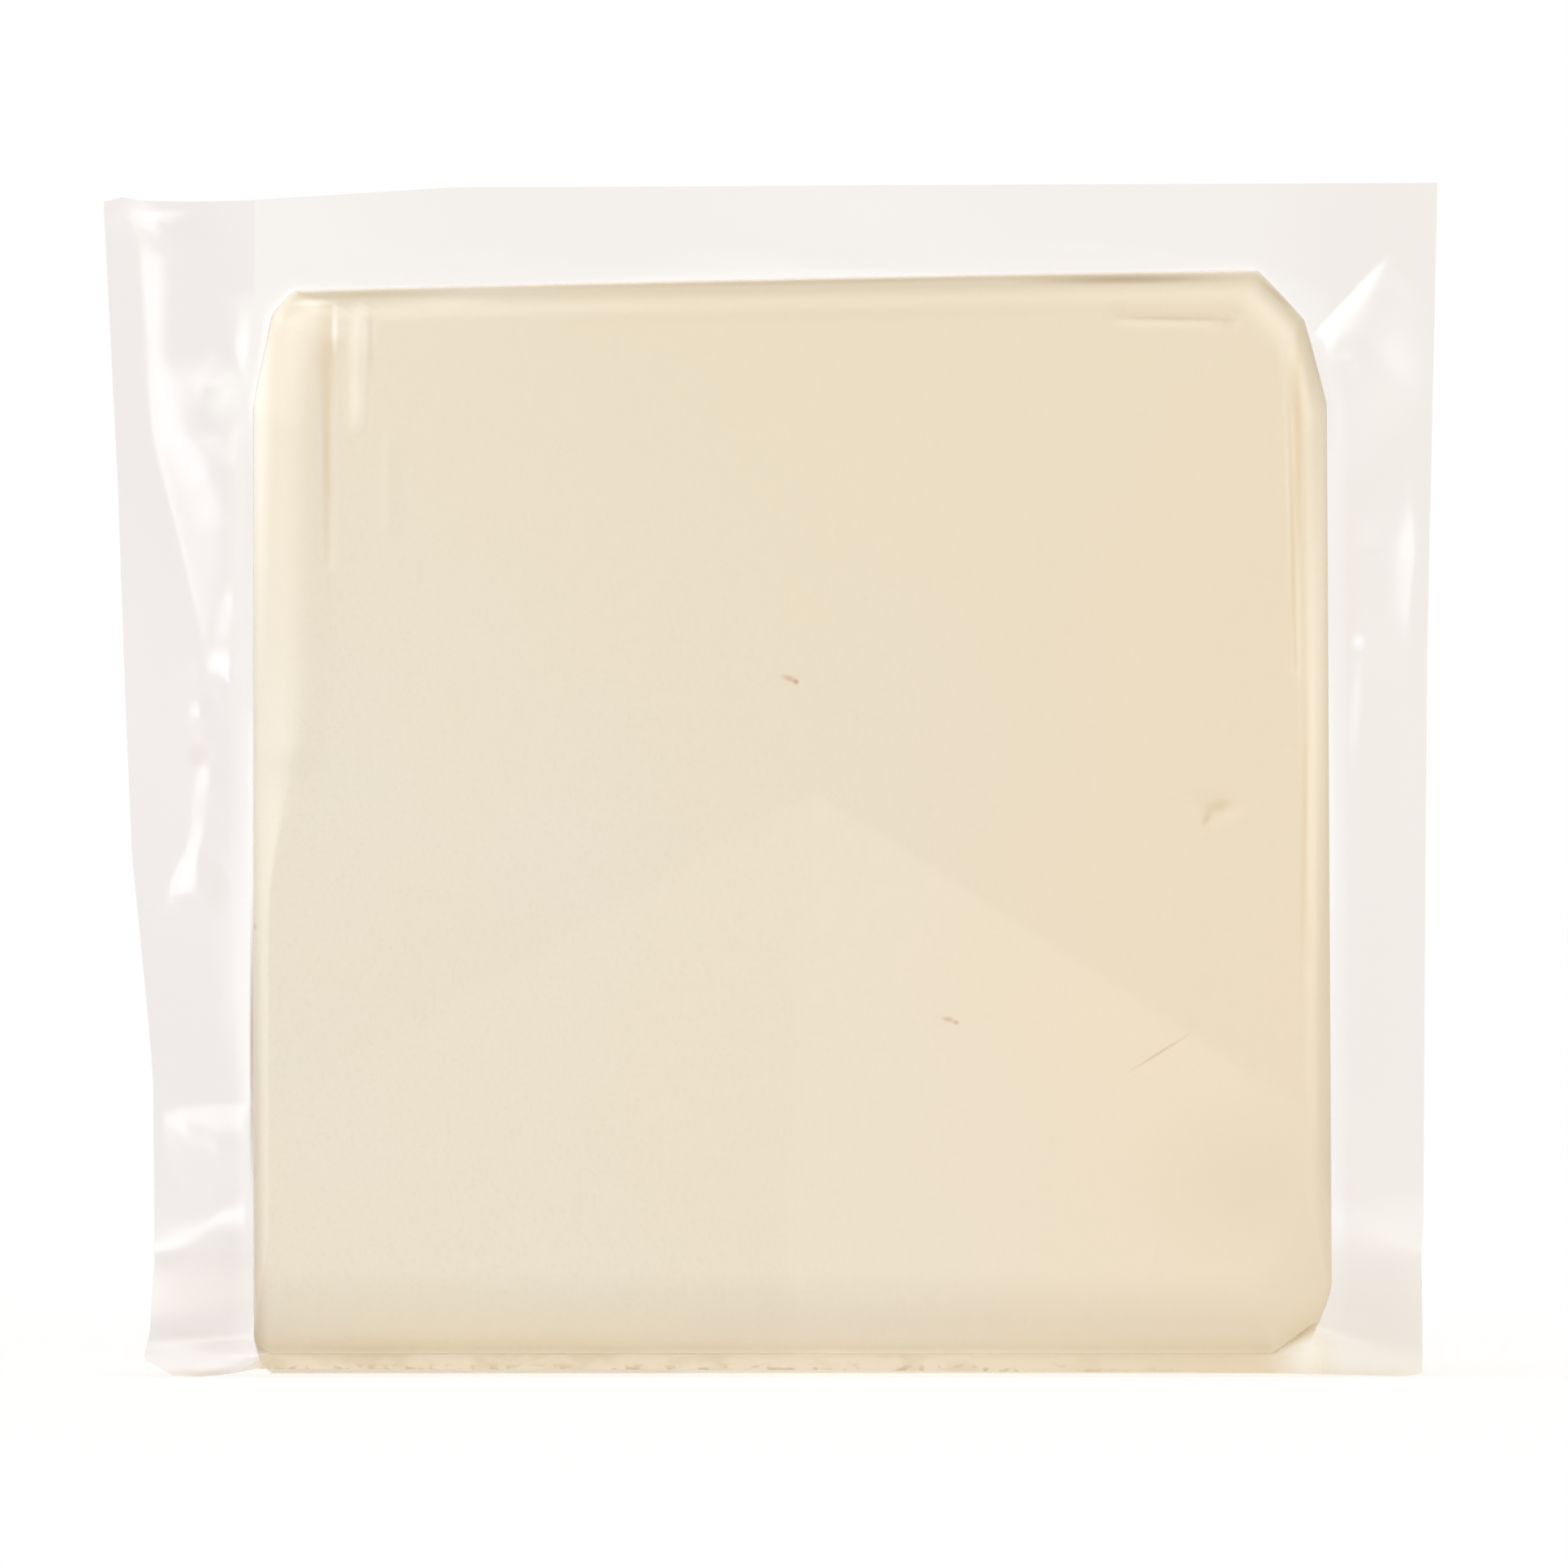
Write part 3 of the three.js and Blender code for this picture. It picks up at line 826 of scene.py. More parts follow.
@dataclass(frozen=True)
class FilmFinish:
    """Clear multilayer packaging film, polyamide over polyethylene, drawn tight.

    To the eye: glossy, with hard white lights on its folds, and a faint lilac cast
    where one looks through the two webs of the margin at the white behind it.
    """

    lilac: str = "#f8f5f4"
    warm: str = "#f9f6f3"
    pale: str = "#faf8f6"
    near_cheese: str = "#fbf9f7"
    steep: str = "#ede6df"
    ior: float = 1.5
    # Share of a smooth film's gloss at grazing that the crumpled, rougher one keeps
    grazing: float = 0.5
    free_roughness: float = 0.26
    clinging_roughness: float = 0.42
    dull_roughness: float = 0.4
    # Share of the margin over which the clinging film turns to the free one
    clinging_end: Point = (0.0, 0.05)
    near_span: Point = (0.24, 0.12)
    longer_way: float = 3.0
    left_line: Point = (-48.7, -48.4)
    cast_across: Point = (40.0, 58.0)
    ripple_mm: float = 7.0
    ripple_height_mm: float = 0.05
    smear: str = "#f2e7d1"
    smear_dark: str = "#ebddc4"
    speck: str = "#bb9f78"
    smear_marks: tuple[Mark, ...] = (
        Mark((42.0, -14.0, 1.0), (30.0, 20.0, 9.0), 0.0, "#ecdec4", 1.0),
        Mark((49.0, -14.0, 3.0), (6.0, 20.0, 7.0), 0.0, "#fdf9f0", 1.0),
    )
    smear_mm: float = 4.0
    smear_span: Point = (0.36, 0.5)
    speck_mm: float = 1.1
    speck_span: Point = (0.56, 0.64)
    speck_top: float = 1.3
    smear_share: float = 0.75
    marks: tuple[Mark, ...] = (
        # Painted shadow along a fold at the top of the left margin
        Mark((-61.4, 0.0, 106.0), (0.8, 4.0, 3.6), 0.0, "#f5f2ee", 0.8),
        # A painted highlight on the lozenge
        Mark((-53.2, 0.0, 91.8), (2.3, 4.0, 3.8), -18.0, "#fefdfb", 1.0),
        # Darker spots on the left margin
        Mark((-55.9, 0.0, 57.9), (1.5, 4.0, 1.6), 0.0, "#f5f1ee", 0.8),
        Mark((-54.6, 0.0, 69.6), (1.0, 4.0, 2.8), 0.0, "#f6f3f0", 0.7),
        # A painted shadow line beside the cheese's left edge, low down
        Mark((-50.75, -1.0, 31.0), (0.4, 8.0, 17.0), 0.0, "#d8cabd", 0.9),
        # Painted shade in bands across the curled lobe at the left of the foot
        Mark((-55.0, -15.0, 3.7), (7.0, 8.0, 1.2), 0.0, "#f2ece6", 0.6),
        Mark((-55.0, -15.0, 0.3), (6.0, 8.0, 0.7), 0.0, "#eee6dd", 0.7),
        # Darker, creamier tints low down at both ends of the foot
        Mark((-55.0, -10.0, 8.0), (11.0, 30.0, 13.0), 0.0, "#f4f1ee", 0.6),
        Mark((54.5, -10.0, 2.0), (14.0, 30.0, 14.0), 0.0, "#f4f0ea", 1.0),
        Mark((48.4, -10.0, 1.5), (3.6, 30.0, 5.5), 0.0, "#f3eddd", 0.8),
        # A painted highlight: a white dot on the right margin, and a soft light streak below it
        Mark((53.1, 0.0, 62.5), (0.75, 4.0, 6.8), -4.6, "#fdfbf8", 0.8),
        Mark((53.35, 0.0, 68.6), (0.9, 4.0, 1.1), 0.0, "#ffffff", 1.0),
    )

    def build(self, shift: float) -> bpy.types.Material:
        """Makes the film's material.

        Args:
            shift: How far right of the origin the cheese's middle is, in millimetres.

        Returns:
            The material: see-through by the film's tint, and glossy by its reflectance.
        """
        material, tree = new_material("clear_film")
        place = add_node(tree, "ShaderNodeTexCoord").outputs["Object"]
        margin = attribute(tree, "margin")
        ripple = noise(tree, place, self.ripple_mm, 1.0)
        values = {"Strength": 1.0, "Distance": self.ripple_height_mm * MM}
        normal = add_node(tree, "ShaderNodeBump", values, {"Height": ripple}).outputs["Normal"]
        slanting = add_node(tree, "ShaderNodeLayerWeight", {"Blend": 0.5}, {"Normal": normal})
        facing = slanting.outputs["Facing"]
        longer_way = calculate(tree, "POWER", facing, self.longer_way)
        tint = mixed_colour(tree, longer_way, self._cast(tree, place, margin, shift), self.steep)
        through = add_node(tree, "ShaderNodeBsdfTransparent", links={"Color": tint})
        to = (self.clinging_roughness, self.free_roughness)
        clean = spread(tree, margin, self.clinging_end, to)
        dull = attribute(tree, "dull")
        roughness = calculate(tree, "MULTIPLY_ADD", dull, self.dull_roughness, clean)
        gloss = add_node(
            tree, "ShaderNodeBsdfGlossy", {"Color": (1, 1, 1, 1)},
            {"Normal": normal, "Roughness": roughness},
        )
        links = {0: self._mirror(tree, facing), 1: through.outputs[0], 2: gloss.outputs[0]}
        film = add_node(tree, "ShaderNodeMixShader", links=links)
        surface = self._smear(tree, place, film.outputs[0], shift)
        add_node(tree, "ShaderNodeOutputMaterial", links={"Surface": surface})
        return material

    def _cast(self, tree: Tree, place: Socket, margin: Socket, shift: float) -> Socket:
        """The film's tint, which isn't the same all over, with its marks, among them painted highlights
        and painted shade.

        Args:
            tree: The node tree.
            place: Object coordinates.
            margin: Share of the way from the block to the film's edge.
            shift: How far right of the origin the cheese's middle is, in millimetres.

        Returns:
            The colour.
        """
        across = add_node(tree, "ShaderNodeSeparateXYZ", links={0: place}).outputs["X"]
        past_line, to_right = (
            spread(tree, across, (low * MM, high * MM), ease="SMOOTHSTEP")
            for low, high in (self.left_line, self.cast_across)
        )
        cast = mixed_colour(tree, past_line, self.lilac, self.pale)
        cast = mixed_colour(tree, to_right, cast, self.warm)
        cast = mixed_colour(tree, spread(tree, margin, self.near_span), cast, self.near_cheese)
        return marked(tree, place, cast, shift, self.marks)

    def _mirror(self, tree: Tree, facing: Socket) -> Socket:
        """How much the film mirrors: more where one looks along it, but held back there."""
        head_on = ((self.ior - 1) / (self.ior + 1)) ** 2
        slant = calculate(tree, "POWER", facing, 5.0)
        return calculate(tree, "MULTIPLY_ADD", slant, self.grazing * (1 - head_on), head_on)

    def _smear(self, tree: Tree, place: Socket, film: Socket, shift: float) -> Socket:
        """Lays a mottled cream over the film of the folded lip along the foot, darker in specks low
        down by the table.

        Args:
            tree: The node tree.
            place: Object coordinates.
            film: The clear film.
            shift: How far right of the origin the cheese's middle is, in millimetres.

        Returns:
            The film with its smear.
        """
        patches = spread(tree, noise(tree, place, self.smear_mm, 3.0), self.smear_span)
        colour = mixed_colour(tree, patches, self.smear_dark, self.smear)
        rare = spread(tree, noise(tree, place, self.speck_mm, 1.0), self.speck_span)
        height = add_node(tree, "ShaderNodeSeparateXYZ", links={0: place}).outputs["Z"]
        low = spread(tree, height, (self.speck_top * MM, 0.0))
        colour = mixed_colour(tree, calculate(tree, "MULTIPLY", rare, low), colour, self.speck)
        colour = marked(tree, place, colour, shift, self.smear_marks)
        cream = add_node(tree, "ShaderNodeBsdfDiffuse", links={"Color": colour})
        share = calculate(tree, "MULTIPLY", attribute(tree, "lip"), self.smear_share)
        links = {0: share, 1: film, 2: cream.outputs[0]}
        return add_node(tree, "ShaderNodeMixShader", links=links).outputs[0]


# ---- The two pieces ----------------------------------------------------------


@dataclass
class Cheese:
    """The block of cheese, just inside the film."""

    block: Block
    grid: Grid = field(default_factory=Grid)
    relief: FaceRelief = field(default_factory=FaceRelief)
    finish: CheeseFinish = field(default_factory=CheeseFinish)
    film_gap: float = 0.07

    def build(self) -> bpy.types.Object:
        """Models the cheese and ties it to its solid.

        Returns:
            The piece.
        """
        mesh = self.grid.cube()
        points, _ = self.grid.wrap(self.block, coordinates(mesh, "cube"), self.film_gap)
        points = self.block.put_in_pack(self.relief.apply(points))
        points[0] += self.block.pack_shift
        write_points(mesh, points)
        mesh.verts.layers.float_vector.remove(mesh.verts.layers.float_vector["cube"])
        piece = add_piece("cheese", mesh, self.finish.build(self.block.pack_shift))
        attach(piece, BODY)
        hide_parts("cheese_block")
        return piece


@dataclass
class Film:
    """The clear film: a skin on the cheese, and its free margin all round.

    The margin's edges are given as real sizes. Its creases are given as they show on
    the plane of the front face from the viewer's place, a little in front of them.
    """

    block: Block
    viewer: tuple[float, float, float]
    grid: Grid = field(default_factory=Grid)
    relief: FaceRelief = field(default_factory=FaceRelief)
    finish: FilmFinish = field(default_factory=FilmFinish)
    rings: int = 27
    rim: float = 0.003
    thickness: float = 0.2
    fillet_width: float = 1.5
    wave_held: float = 0.4
    crease_held: float = 0.12
    lip_lean: float = 1.2
    lip_calm: float = 0.8
    late_fold: float = 3.0
    lowest: float = 0.02
    # Edges of the film: places along a side, and where the edge is there
    right_edge: tuple[Point, ...] = ((0, 58.7), (3, 58.8), (15, 59.45), (67.7, 59.8), (111.8, 60.8))
    left_edge: tuple[Point, ...] = (
        (0.3, 59.6), (1.9, 60.3), (4.3, 59.8), (8.0, 59.9), (27.4, 60.1), (33.4, 60.6), (48.6, 62.1),
        (60.2, 62.6), (83.1, 63.4), (110.0, 64.8),
    )
    top_edge: tuple[Point, ...] = (
        (-64.8, 110.0), (-64.0, 110.6), (-63.2, 110.45), (-61.2, 110.1), (-57.0, 110.0), (-51.5, 110.1),
        (-31.8, 111.35), (61.0, 111.8),
    )
    foot_edge: tuple[Point, ...] = (
        (-60.2, 1.6), (-59.5, 0.5), (-57.4, 0.05), (-53.6, 0.03), (-50.1, 0.75), (0.0, 0.65),
        (45.6, 0.35), (57.0, 0.06), (59.4, 0.4),
    )
    # The smear of the lip: its ends in X and how far it fades there, the place on the
    # outline where it ends round the right corner, and how fast it starts at the block
    smear_reach: Point = (-50.2, 50.0)
    smear_fade: Point = (1.5, 2.2)
    smear_end: float = 7.65
    smear_end_fade: float = 0.3
    smear_start: float = 6.0
    dull_below: float = 18.0
    dull_fade: float = 4.0
    dull_share_at_left: float = 0.3
    wave_height: float = 0.3
    wave_length: float = 58.0
    creases: tuple[Crease, ...] = (
        # The long ridge down the left margin, with its hooked top
        Crease((
            (-60.5, 108.4, 0.9, 0.40), (-60.5, 105.4, 2.6, 0.30), (-60.2, 101.0, 2.8, 0.26),
            (-59.9, 95.0, 2.4, 0.24), (-59.6, 90.5, 2.8, 0.32), (-59.0, 86.6, 3.8, 0.42),
            (-58.0, 83.0, 5.2, 0.48), (-56.8, 78.4, 5.6, 0.48), (-55.9, 74.5, 4.6, 0.42),
            (-55.0, 70.4, 3.0, 0.30), (-54.2, 67.2, 1.8, 0.16),
        ), 7.0),
        Crease(((-56.6, 108.6, 0.8, 0.2), (-59.0, 108.6, 1.8, 0.42), (-60.9, 108.3, 0.8, 0.2)), 3.0),
        # The cup beside the cheese, where the ridge ends
        Crease(((-52.2, 74.4, 0.4, 0.3), (-52.9, 71.8, 1.7, 0.50), (-53.4, 69.0, 1.9, 0.50),
                (-53.4, 67.0, 1.7, 0.46), (-52.9, 65.4, 0.6, 0.40)), 3.0),
        Crease(((-50.9, 67.4, 2.6, 0.44), (-53.2, 66.9, 2.8, 0.46), (-54.2, 66.6, 0.8, 0.2)), 3.0),
        # A lozenge and a thin light beside it
        Crease(((-52.9, 86.8, 0.4, 0.20), (-51.3, 90.6, 3.0, 0.42), (-51.3, 92.4, 3.0, 0.42),
                (-52.7, 96.6, 0.4, 0.20)), 7.0),
        Crease(((-51.2, 98.8, 0.8, 0.1), (-51.6, 95.4, 1.4, 0.2), (-51.4, 91.8, 0.8, 0.1)), 1.6),
        # The small creases half way down
        Crease(((-54.6, 57.2, 0.8, 0.1), (-55.0, 56.2, 1.2, 0.38), (-55.4, 54.6, 1.3, 0.38),
                (-55.6, 52.2, 1.2, 0.34), (-55.7, 50.0, 1.2, 0.26)), 1.8),
        Crease(((-55.7, 49.6, 0.8, 0.2), (-56.8, 47.8, 2.4, 0.38), (-57.8, 45.2, 2.8, 0.4),
                (-58.2, 44.2, 0.8, 0.1)), 2.6),
        # The level crease, and the slanting one below it
        Crease(((-49.0, 25.5, 5.0, 0.42), (-53.6, 25.4, 4.2, 0.43), (-56.6, 25.2, 2.6, 0.42),
                (-58.6, 25.0, 0.4, 0.3)), 6.0),
        Crease(((-49.0, 17.9, 4.6, 0.42), (-52.6, 15.9, 3.8, 0.43), (-54.8, 13.2, 2.2, 0.40),
                (-57.4, 10.0, 0.6, 0.2)), 5.0),
        # The slanting light at the top right corner
        Crease(((55.6, 104.7, 0.4, 0.30), (54.0, 103.0, 1.8, 0.42), (50.2, 99.0, 4.3, 0.43),
                (47.0, 95.4, 4.6, 0.40)), 9.0),
        # The soft creases half way down the right margin
        Crease(((57.3, 64.6, 0.6, 0.05), (57.5, 70.4, 3.6, 0.30), (58.0, 76.8, 4.2, 0.33),
                (57.9, 82.5, 1.2, 0.16), (57.8, 88.5, 0.5, 0.03)), 6.0),
    )
    swellings: tuple[Swelling, ...] = (
        Swelling((-54.9, 61.9), (-54.9, 61.1), 0.6, 0.22),
        Swelling((-54.6, 59.4), (-54.2, 59.1), 0.5, 0.10),
        Swelling((-53.8, 17.1), (-53.8, 17.0), 0.6, 0.18),
        Swelling((51.6, 94.4), (51.9, 94.2), 0.6, 0.15),
        Swelling((-60.4, 1.4), (-52.0, 1.2), 1.1, 0.8),
    )

    def build(self) -> bpy.types.Object:
        """Models the film and ties it to its solid.

        Returns:
            The piece.
        """
        mesh = self.grid.cube()
        self._draw_out_margin(mesh)
        cube = coordinates(mesh, "cube")
        key = mesh.verts.layers.float["margin"]
        margin = np.array([vertex[key] for vertex in mesh.verts])
        points, place = self.grid.wrap(self.block, cube, 0.0)
        on_block = self.block.put_in_pack(self.relief.apply(points))
        in_margin = self._margin_points(place, margin, cube[:, 1])
        self._note_finish(mesh, place, margin, in_margin[0], in_margin[2])
        points = np.where(margin > 0, in_margin, on_block)
        points[0] += self.block.pack_shift
        write_points(mesh, points)
        mesh.verts.layers.float_vector.remove(mesh.verts.layers.float_vector["cube"])
        piece = add_piece("film", mesh, self.finish.build(self.block.pack_shift))
        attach(piece, BODY)
        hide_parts("film_margin")
        return piece

    def _note_finish(self, mesh: BMesh, place: Array, margin: Array, x: Array, z: Array) -> None:
        """Keeps for the finish where the lip is smeared, and where the film is crumpled dull."""
        low, high = self.smear_reach
        round_corner = 1 - smooth((place - self.smear_end) / self.smear_end_fade)
        foot = self.block.side_value(place, (0, 0, 0, 1))
        foot = np.where(place > 2 * Side.BOTTOM, round_corner, foot)
        smeared = foot * smooth(self.smear_start * margin)
        smeared = smeared * smooth((x - low) / self.smear_fade[0])
        smeared = smeared * smooth((high - x) / self.smear_fade[1])
        dull = smooth((self.dull_below - z) / self.dull_fade)
        dull = dull * np.where(x > 0, 1.0, self.dull_share_at_left)
        for name, shares in (("lip", smeared), ("dull", dull)):
            key = mesh.verts.layers.float.new(name)
            for vertex, share in zip(mesh.verts, shares):
                vertex[key] = share

    def _draw_out_margin(self, mesh: BMesh) -> None:
        """Draws the row of faces at the margin's root out, ring by ring."""
        rows = self.grid.depth_rows
        low = 2 * self.grid.front_rows / rows - 1
        high = 2 * (self.grid.front_rows + 1) / rows - 1
        band = [
            face for face in mesh.faces
            if all(low - 1e-5 < vertex.co.y < high + 1e-5 for vertex in face.verts)
        ]
        key = mesh.verts.layers.float.new("margin")
        shares = [self.rim, *np.linspace(0, 1, self.rings)[1:-1], 1 - self.rim, 1.0]
        for share in shares:
            grown = bmesh.ops.extrude_face_region(mesh, geom=band)["geom"]
            bmesh.ops.delete(mesh, geom=band, context="FACES")
            band = [item for item in grown if isinstance(item, bmesh.types.BMFace)]
            for item in grown:
                if isinstance(item, bmesh.types.BMVert):
                    item[key] = share

    def _edge(self, side: int, x: Array, z: Array) -> tuple[Array, Array]:
        """The point of the film's edge on a side that faces a point at X, Z."""
        if side == Side.RIGHT:
            return np.interp(z, *np.array(self.right_edge).T), z
        if side == Side.LEFT:
            return -np.interp(z, *np.array(self.left_edge).T), z
        knots = self.top_edge if side == Side.TOP else self.foot_edge
        return x, np.interp(x, *np.array(knots).T)

    def _film_corner(self, corner: int) -> Point:
        """The film's own corner beyond a corner of the block."""
        sign_x, sign_z = self.block.corner_signs[corner]
        upright = Side.RIGHT if sign_x > 0 else Side.LEFT
        level = Side.TOP if sign_z > 0 else Side.BOTTOM
        far_x = np.array(sign_x * BEYOND_EDGES)
        _, z = self._edge(level, far_x, far_x)
        x, _ = self._edge(upright, far_x, z)
        return float(x), float(z)

    def _outer(self, place: Array) -> tuple[Array, Array]:
        """The point of the film's edge that belongs to each place of the outline."""
        none = np.zeros_like(place)
        full = self.block.lines(none, none, 0.0)
        x, z = self._square(*self.block.outline(place, full))
        out_x, out_z = np.zeros_like(x), np.zeros_like(z)
        stretch = np.floor(place).astype(int) % 8
        along = place - np.floor(place)
        for side in Side:
            edge = self._edge(side, x, z)
            out_x, out_z = (np.where(stretch == 2 * side, e, o) for e, o in zip(edge, (out_x, out_z)))
            corner_x, corner_z = self._film_corner(side)
            for part, at, share in (
                (side, 2.0 * side + 1, 2 * along),
                (Side((side + 1) % 4), (2.0 * side + 2) % 8, 2 - 2 * along),
            ):
                start = self._square(*self.block.outline(np.array([at]), full[:, :1]))
                run_x, run_z = mix(start[0], corner_x, share), mix(start[1], corner_z, share)
                edge = self._edge(part, run_x, run_z)
                chosen = (stretch == 2 * side + 1) & (share >= 0) & (share <= 1)
                out_x, out_z = (np.where(chosen, e, o) for e, o in zip(edge, (out_x, out_z)))
        return out_x, out_z

    def _square(self, x: Array, z: Array) -> tuple[Array, Array]:
        """Puts points of the front view out of square with the block."""
        moved = self.block.put_in_pack(np.array([x, np.zeros_like(x), z]))
        return moved[0], moved[2]

    def _relief(self, x: Array, y: Array, z: Array, margin: Array) -> Array:
        """The margin's creases at points, looked up where the viewer sees them."""
        eye_x, eye_y, eye_z = self.viewer
        front = -self.block.depth / 2
        nearer = (front - eye_y) / (y - eye_y)
        seen_x = eye_x - self.block.pack_shift + (x - eye_x + self.block.pack_shift) * nearer
        seen_z = eye_z + (z - eye_z) * nearer
        wave = self.wave_height * np.sin(2 * math.pi * (x + z) / self.wave_length)
        heights = [crease.height(seen_x, seen_z) for crease in self.creases]
        heights += [swelling.at(seen_x, seen_z) for swelling in self.swellings]
        creased = smooth(margin / self.crease_held) * sum(heights)
        return smooth(margin / self.wave_held) * wave + creased

    def _margin_points(self, place: Array, margin: Array, cube_y: Array) -> Array:
        """Places in the margin: a share of the way from the block to the film's edge."""
        root = self.block.surface(place, self.block.root_arc(place), 0.0)
        root = self.block.put_in_pack(root)
        out_x, out_z = self._outer(place)
        sweep = self.block.sweep(place)
        lip = self.block.side_value(place, (0, 0, 0, 1))
        late = self.block.sweep(place, self.late_fold)
        out_y = -self.block.fold_forward * late - self.lip_lean * lip
        x, y, z = (mix(a, b, margin) for a, b in zip(root, (out_x, out_y, out_z)))
        width = np.hypot(out_x - root[0], out_z - root[2])
        y = y - self._relief(x, y, z, margin) * (1 - self.lip_calm * lip)
        opening = self.block.root_half * np.clip(1 - margin * width / self.fillet_width, 0, 1) ** 2
        half = self.thickness / 2 + opening * (1 - sweep)
        web = np.where(cube_y < self.web_line, -1.0, 1.0)
        return np.array([x, y + web * half, np.maximum(z, self.lowest)])

    @property
    def web_line(self) -> float:
        """The cube's Y between the front web's row and the back web's."""
        return (2 * self.grid.front_rows + 1) / self.grid.depth_rows - 1


# ---- Studio ------------------------------------------------------------------


@dataclass(frozen=True)
class SoftBox:
    """A soft box that looks at the middle of the pack.

    Attributes:
        name: Its name.
        heading: Degrees to the right of the camera's side, and degrees up.
        distance: How far from the pack's middle it stands, in metres.
        size: Its width and height, in metres.
        radiance: How bright its face is, where 1 is the white surround.
        shows_in_gloss: Whether gloss alone sees it, or else matt surfaces alone.
    """

    name: str
    heading: Point
    distance: float
    size: Point
    radiance: float
    shows_in_gloss: bool = True

    def build(self, aim: Vector, tone: Sequence[float], lit: bpy.types.Collection) -> None:
        """Adds the box.

        Args:
            aim: The point that it looks at, in metres.
            tone: The linear colour of its light.
            lit: The pieces that it lights.
        """
        lamp = bpy.data.lights.new(self.name, "AREA")
        lamp.shape = "RECTANGLE"
        lamp.size, lamp.size_y = self.size
        lamp.energy = self.radiance * math.pi * self.size[0] * self.size[1]
        lamp.color = tone
        turn, rise = (math.radians(angle) for angle in self.heading)
        level = math.cos(rise)
        towards = Vector((math.sin(turn) * level, -math.cos(turn) * level, math.sin(rise)))
        holder = bpy.data.objects.new(self.name, lamp)
        holder.location = aim + towards * self.distance
        holder.rotation_euler = towards.to_track_quat("Z", "Y").to_euler()
        holder.visible_camera = False
        holder.visible_diffuse = not self.shows_in_gloss
        holder.visible_glossy = self.shows_in_gloss
        holder.light_linking.receiver_collection = lit
        bpy.context.scene.collection.objects.link(holder)


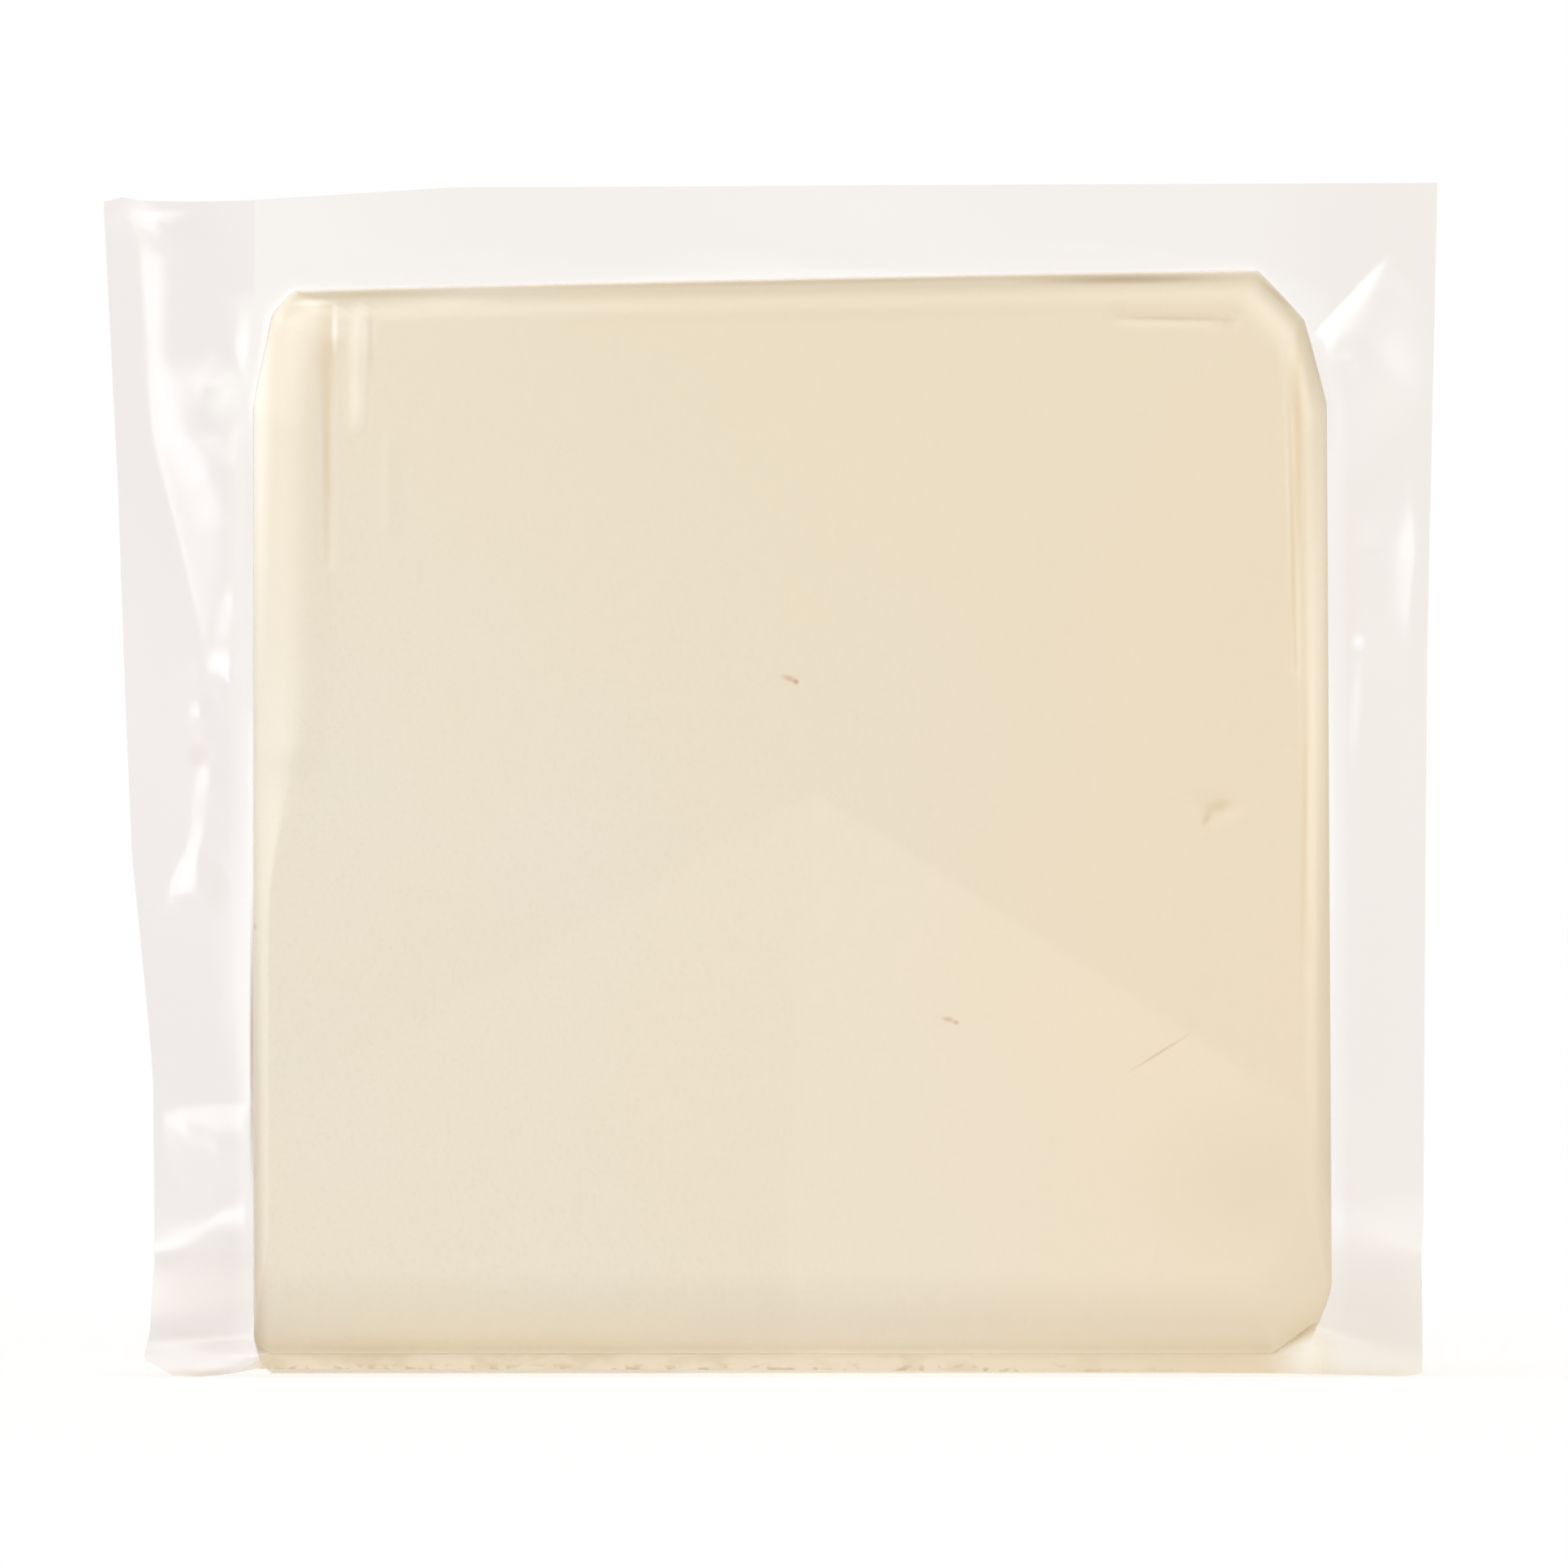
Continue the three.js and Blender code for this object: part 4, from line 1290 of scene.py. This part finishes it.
@dataclass
class Studio:
    """A white table and surround with soft boxes, and the camera.

    Attributes:
        viewer: X, Y and Z of the camera, in millimetres.
        frame_width: How much of the front face's plane the picture takes, in millimetres.
    """

    viewer: tuple[float, float, float] = (1.28, -1518.3, 55.2)
    frame_width: float = 145.81
    sensor: float = 36.0
    clip: Point = (0.05, 50.0)
    table: float = 6.0
    table_white: str = "#cccccc"
    table_glow: float = 0.576
    table_roughness: float = 0.9
    seen_white: float = 1.0
    room_light: float = 0.7
    room_gloss: float = 0.55
    tone: tuple[float, float, float] = (0.96, 0.97, 1.0)
    boxes: tuple[SoftBox, ...] = (
        SoftBox("left_box", (-33.0, 12.0), 1.1, (0.75, 1.1), 3.0),
        SoftBox("far_left_box", (-72.0, 12.0), 1.1, (0.8, 1.1), 2.7),
        SoftBox("edge_box", (-112.0, 30.0), 1.1, (0.9, 1.0), 2.8),
        SoftBox("right_box", (47.0, 12.0), 1.1, (0.8, 1.1), 2.6),
        SoftBox("top_box", (0.0, 42.0), 1.1, (2.4, 0.8), 1.8),
        SoftBox("back_box", (180.0, 40.0), 1.3, (1.6, 0.8), 2.0),
        SoftBox("key", (-48.0, 40.0), 1.2, (0.6, 0.6), 3.8, False),
        SoftBox("fill", (58.0, 10.0), 1.2, (0.6, 0.9), 1.8, False),
    )

    def build(self, pack: Sequence[bpy.types.Object]) -> None:
        """Sets up table, surround, lights and camera.

        Args:
            pack: The pieces, which alone take the soft boxes' light.
        """
        self._table()
        self._surround()
        lit = bpy.data.collections.new("lit_pieces")
        for piece in pack:
            lit.objects.link(piece)
        for box in self.boxes:
            box.build(Vector((0, 0, self.viewer[2] * MM)), self.tone, lit)
        self._camera()

    def _table(self) -> None:
        """The pale table, which glows a little so that it meets the white surround."""
        mesh = bmesh.new()
        bmesh.ops.create_grid(mesh, x_segments=1, y_segments=1, size=self.table)
        material, tree = new_material("white_table")
        body = add_node(
            tree, "ShaderNodeBsdfPrincipled",
            {"Base Color": linear_colour(self.table_white), "Roughness": self.table_roughness,
             "Emission Color": (1, 1, 1, 1), "Emission Strength": self.table_glow,
             "Specular IOR Level": 0.0},
        )
        add_node(tree, "ShaderNodeOutputMaterial", links={"Surface": body.outputs["BSDF"]})
        add_piece("table", mesh, material)

    def _surround(self) -> None:
        """The even white surround, dimmer where only gloss sees it, so that films show."""
        world = bpy.data.worlds.new("white_surround")
        world.use_nodes = True
        tree = world.node_tree
        tree.nodes.clear()
        rays = add_node(tree, "ShaderNodeLightPath")
        seen, lit, gloss = (
            add_node(tree, "ShaderNodeBackground", {"Color": (1, 1, 1, 1), "Strength": light})
            for light in (self.seen_white, self.room_light, self.room_gloss)
        )
        shown = lit
        for rays_of, light in (("Is Glossy Ray", gloss), ("Is Camera Ray", seen)):
            links = {0: rays.outputs[rays_of], 1: shown.outputs[0], 2: light.outputs[0]}
            shown = add_node(tree, "ShaderNodeMixShader", links=links)
        add_node(tree, "ShaderNodeOutputWorld", links={"Surface": shown.outputs[0]})
        bpy.context.scene.world = world

    def _camera(self) -> None:
        """The camera, level and square to the front face, at the photo's distance."""
        lens = bpy.data.cameras.new("camera")
        lens.sensor_width = self.sensor
        lens.lens = self.sensor * (-Block.depth / 2 - self.viewer[1]) / self.frame_width
        lens.clip_start, lens.clip_end = self.clip
        camera = bpy.data.objects.new("camera", lens)
        camera.location = Vector(self.viewer) * MM
        camera.rotation_euler = (QUARTER_TURN, 0, 0)
        bpy.context.scene.collection.objects.link(camera)
        bpy.context.scene.camera = camera


def main() -> None:
    """Builds the two pieces and the studio, in order, and reports each piece."""
    logging.basicConfig(level=logging.INFO, format="%(message)s")
    scene = bpy.context.scene
    scene.view_settings.view_transform = "Standard"
    scene.cycles.transparent_max_bounces = FILM_LAYERS
    # With these few lamps the light tree costs time and doesn't lessen the noise
    scene.cycles.use_light_tree = False
    block = Block()
    studio = Studio()
    pieces = []
    for maker in (Cheese(block), Film(block, studio.viewer)):
        piece = maker.build()
        pieces.append(piece)
        LOG.info("%s: %d faces", piece.name, len(piece.data.polygons))
    studio.build(pieces)


if __name__ == "__main__":
    main()
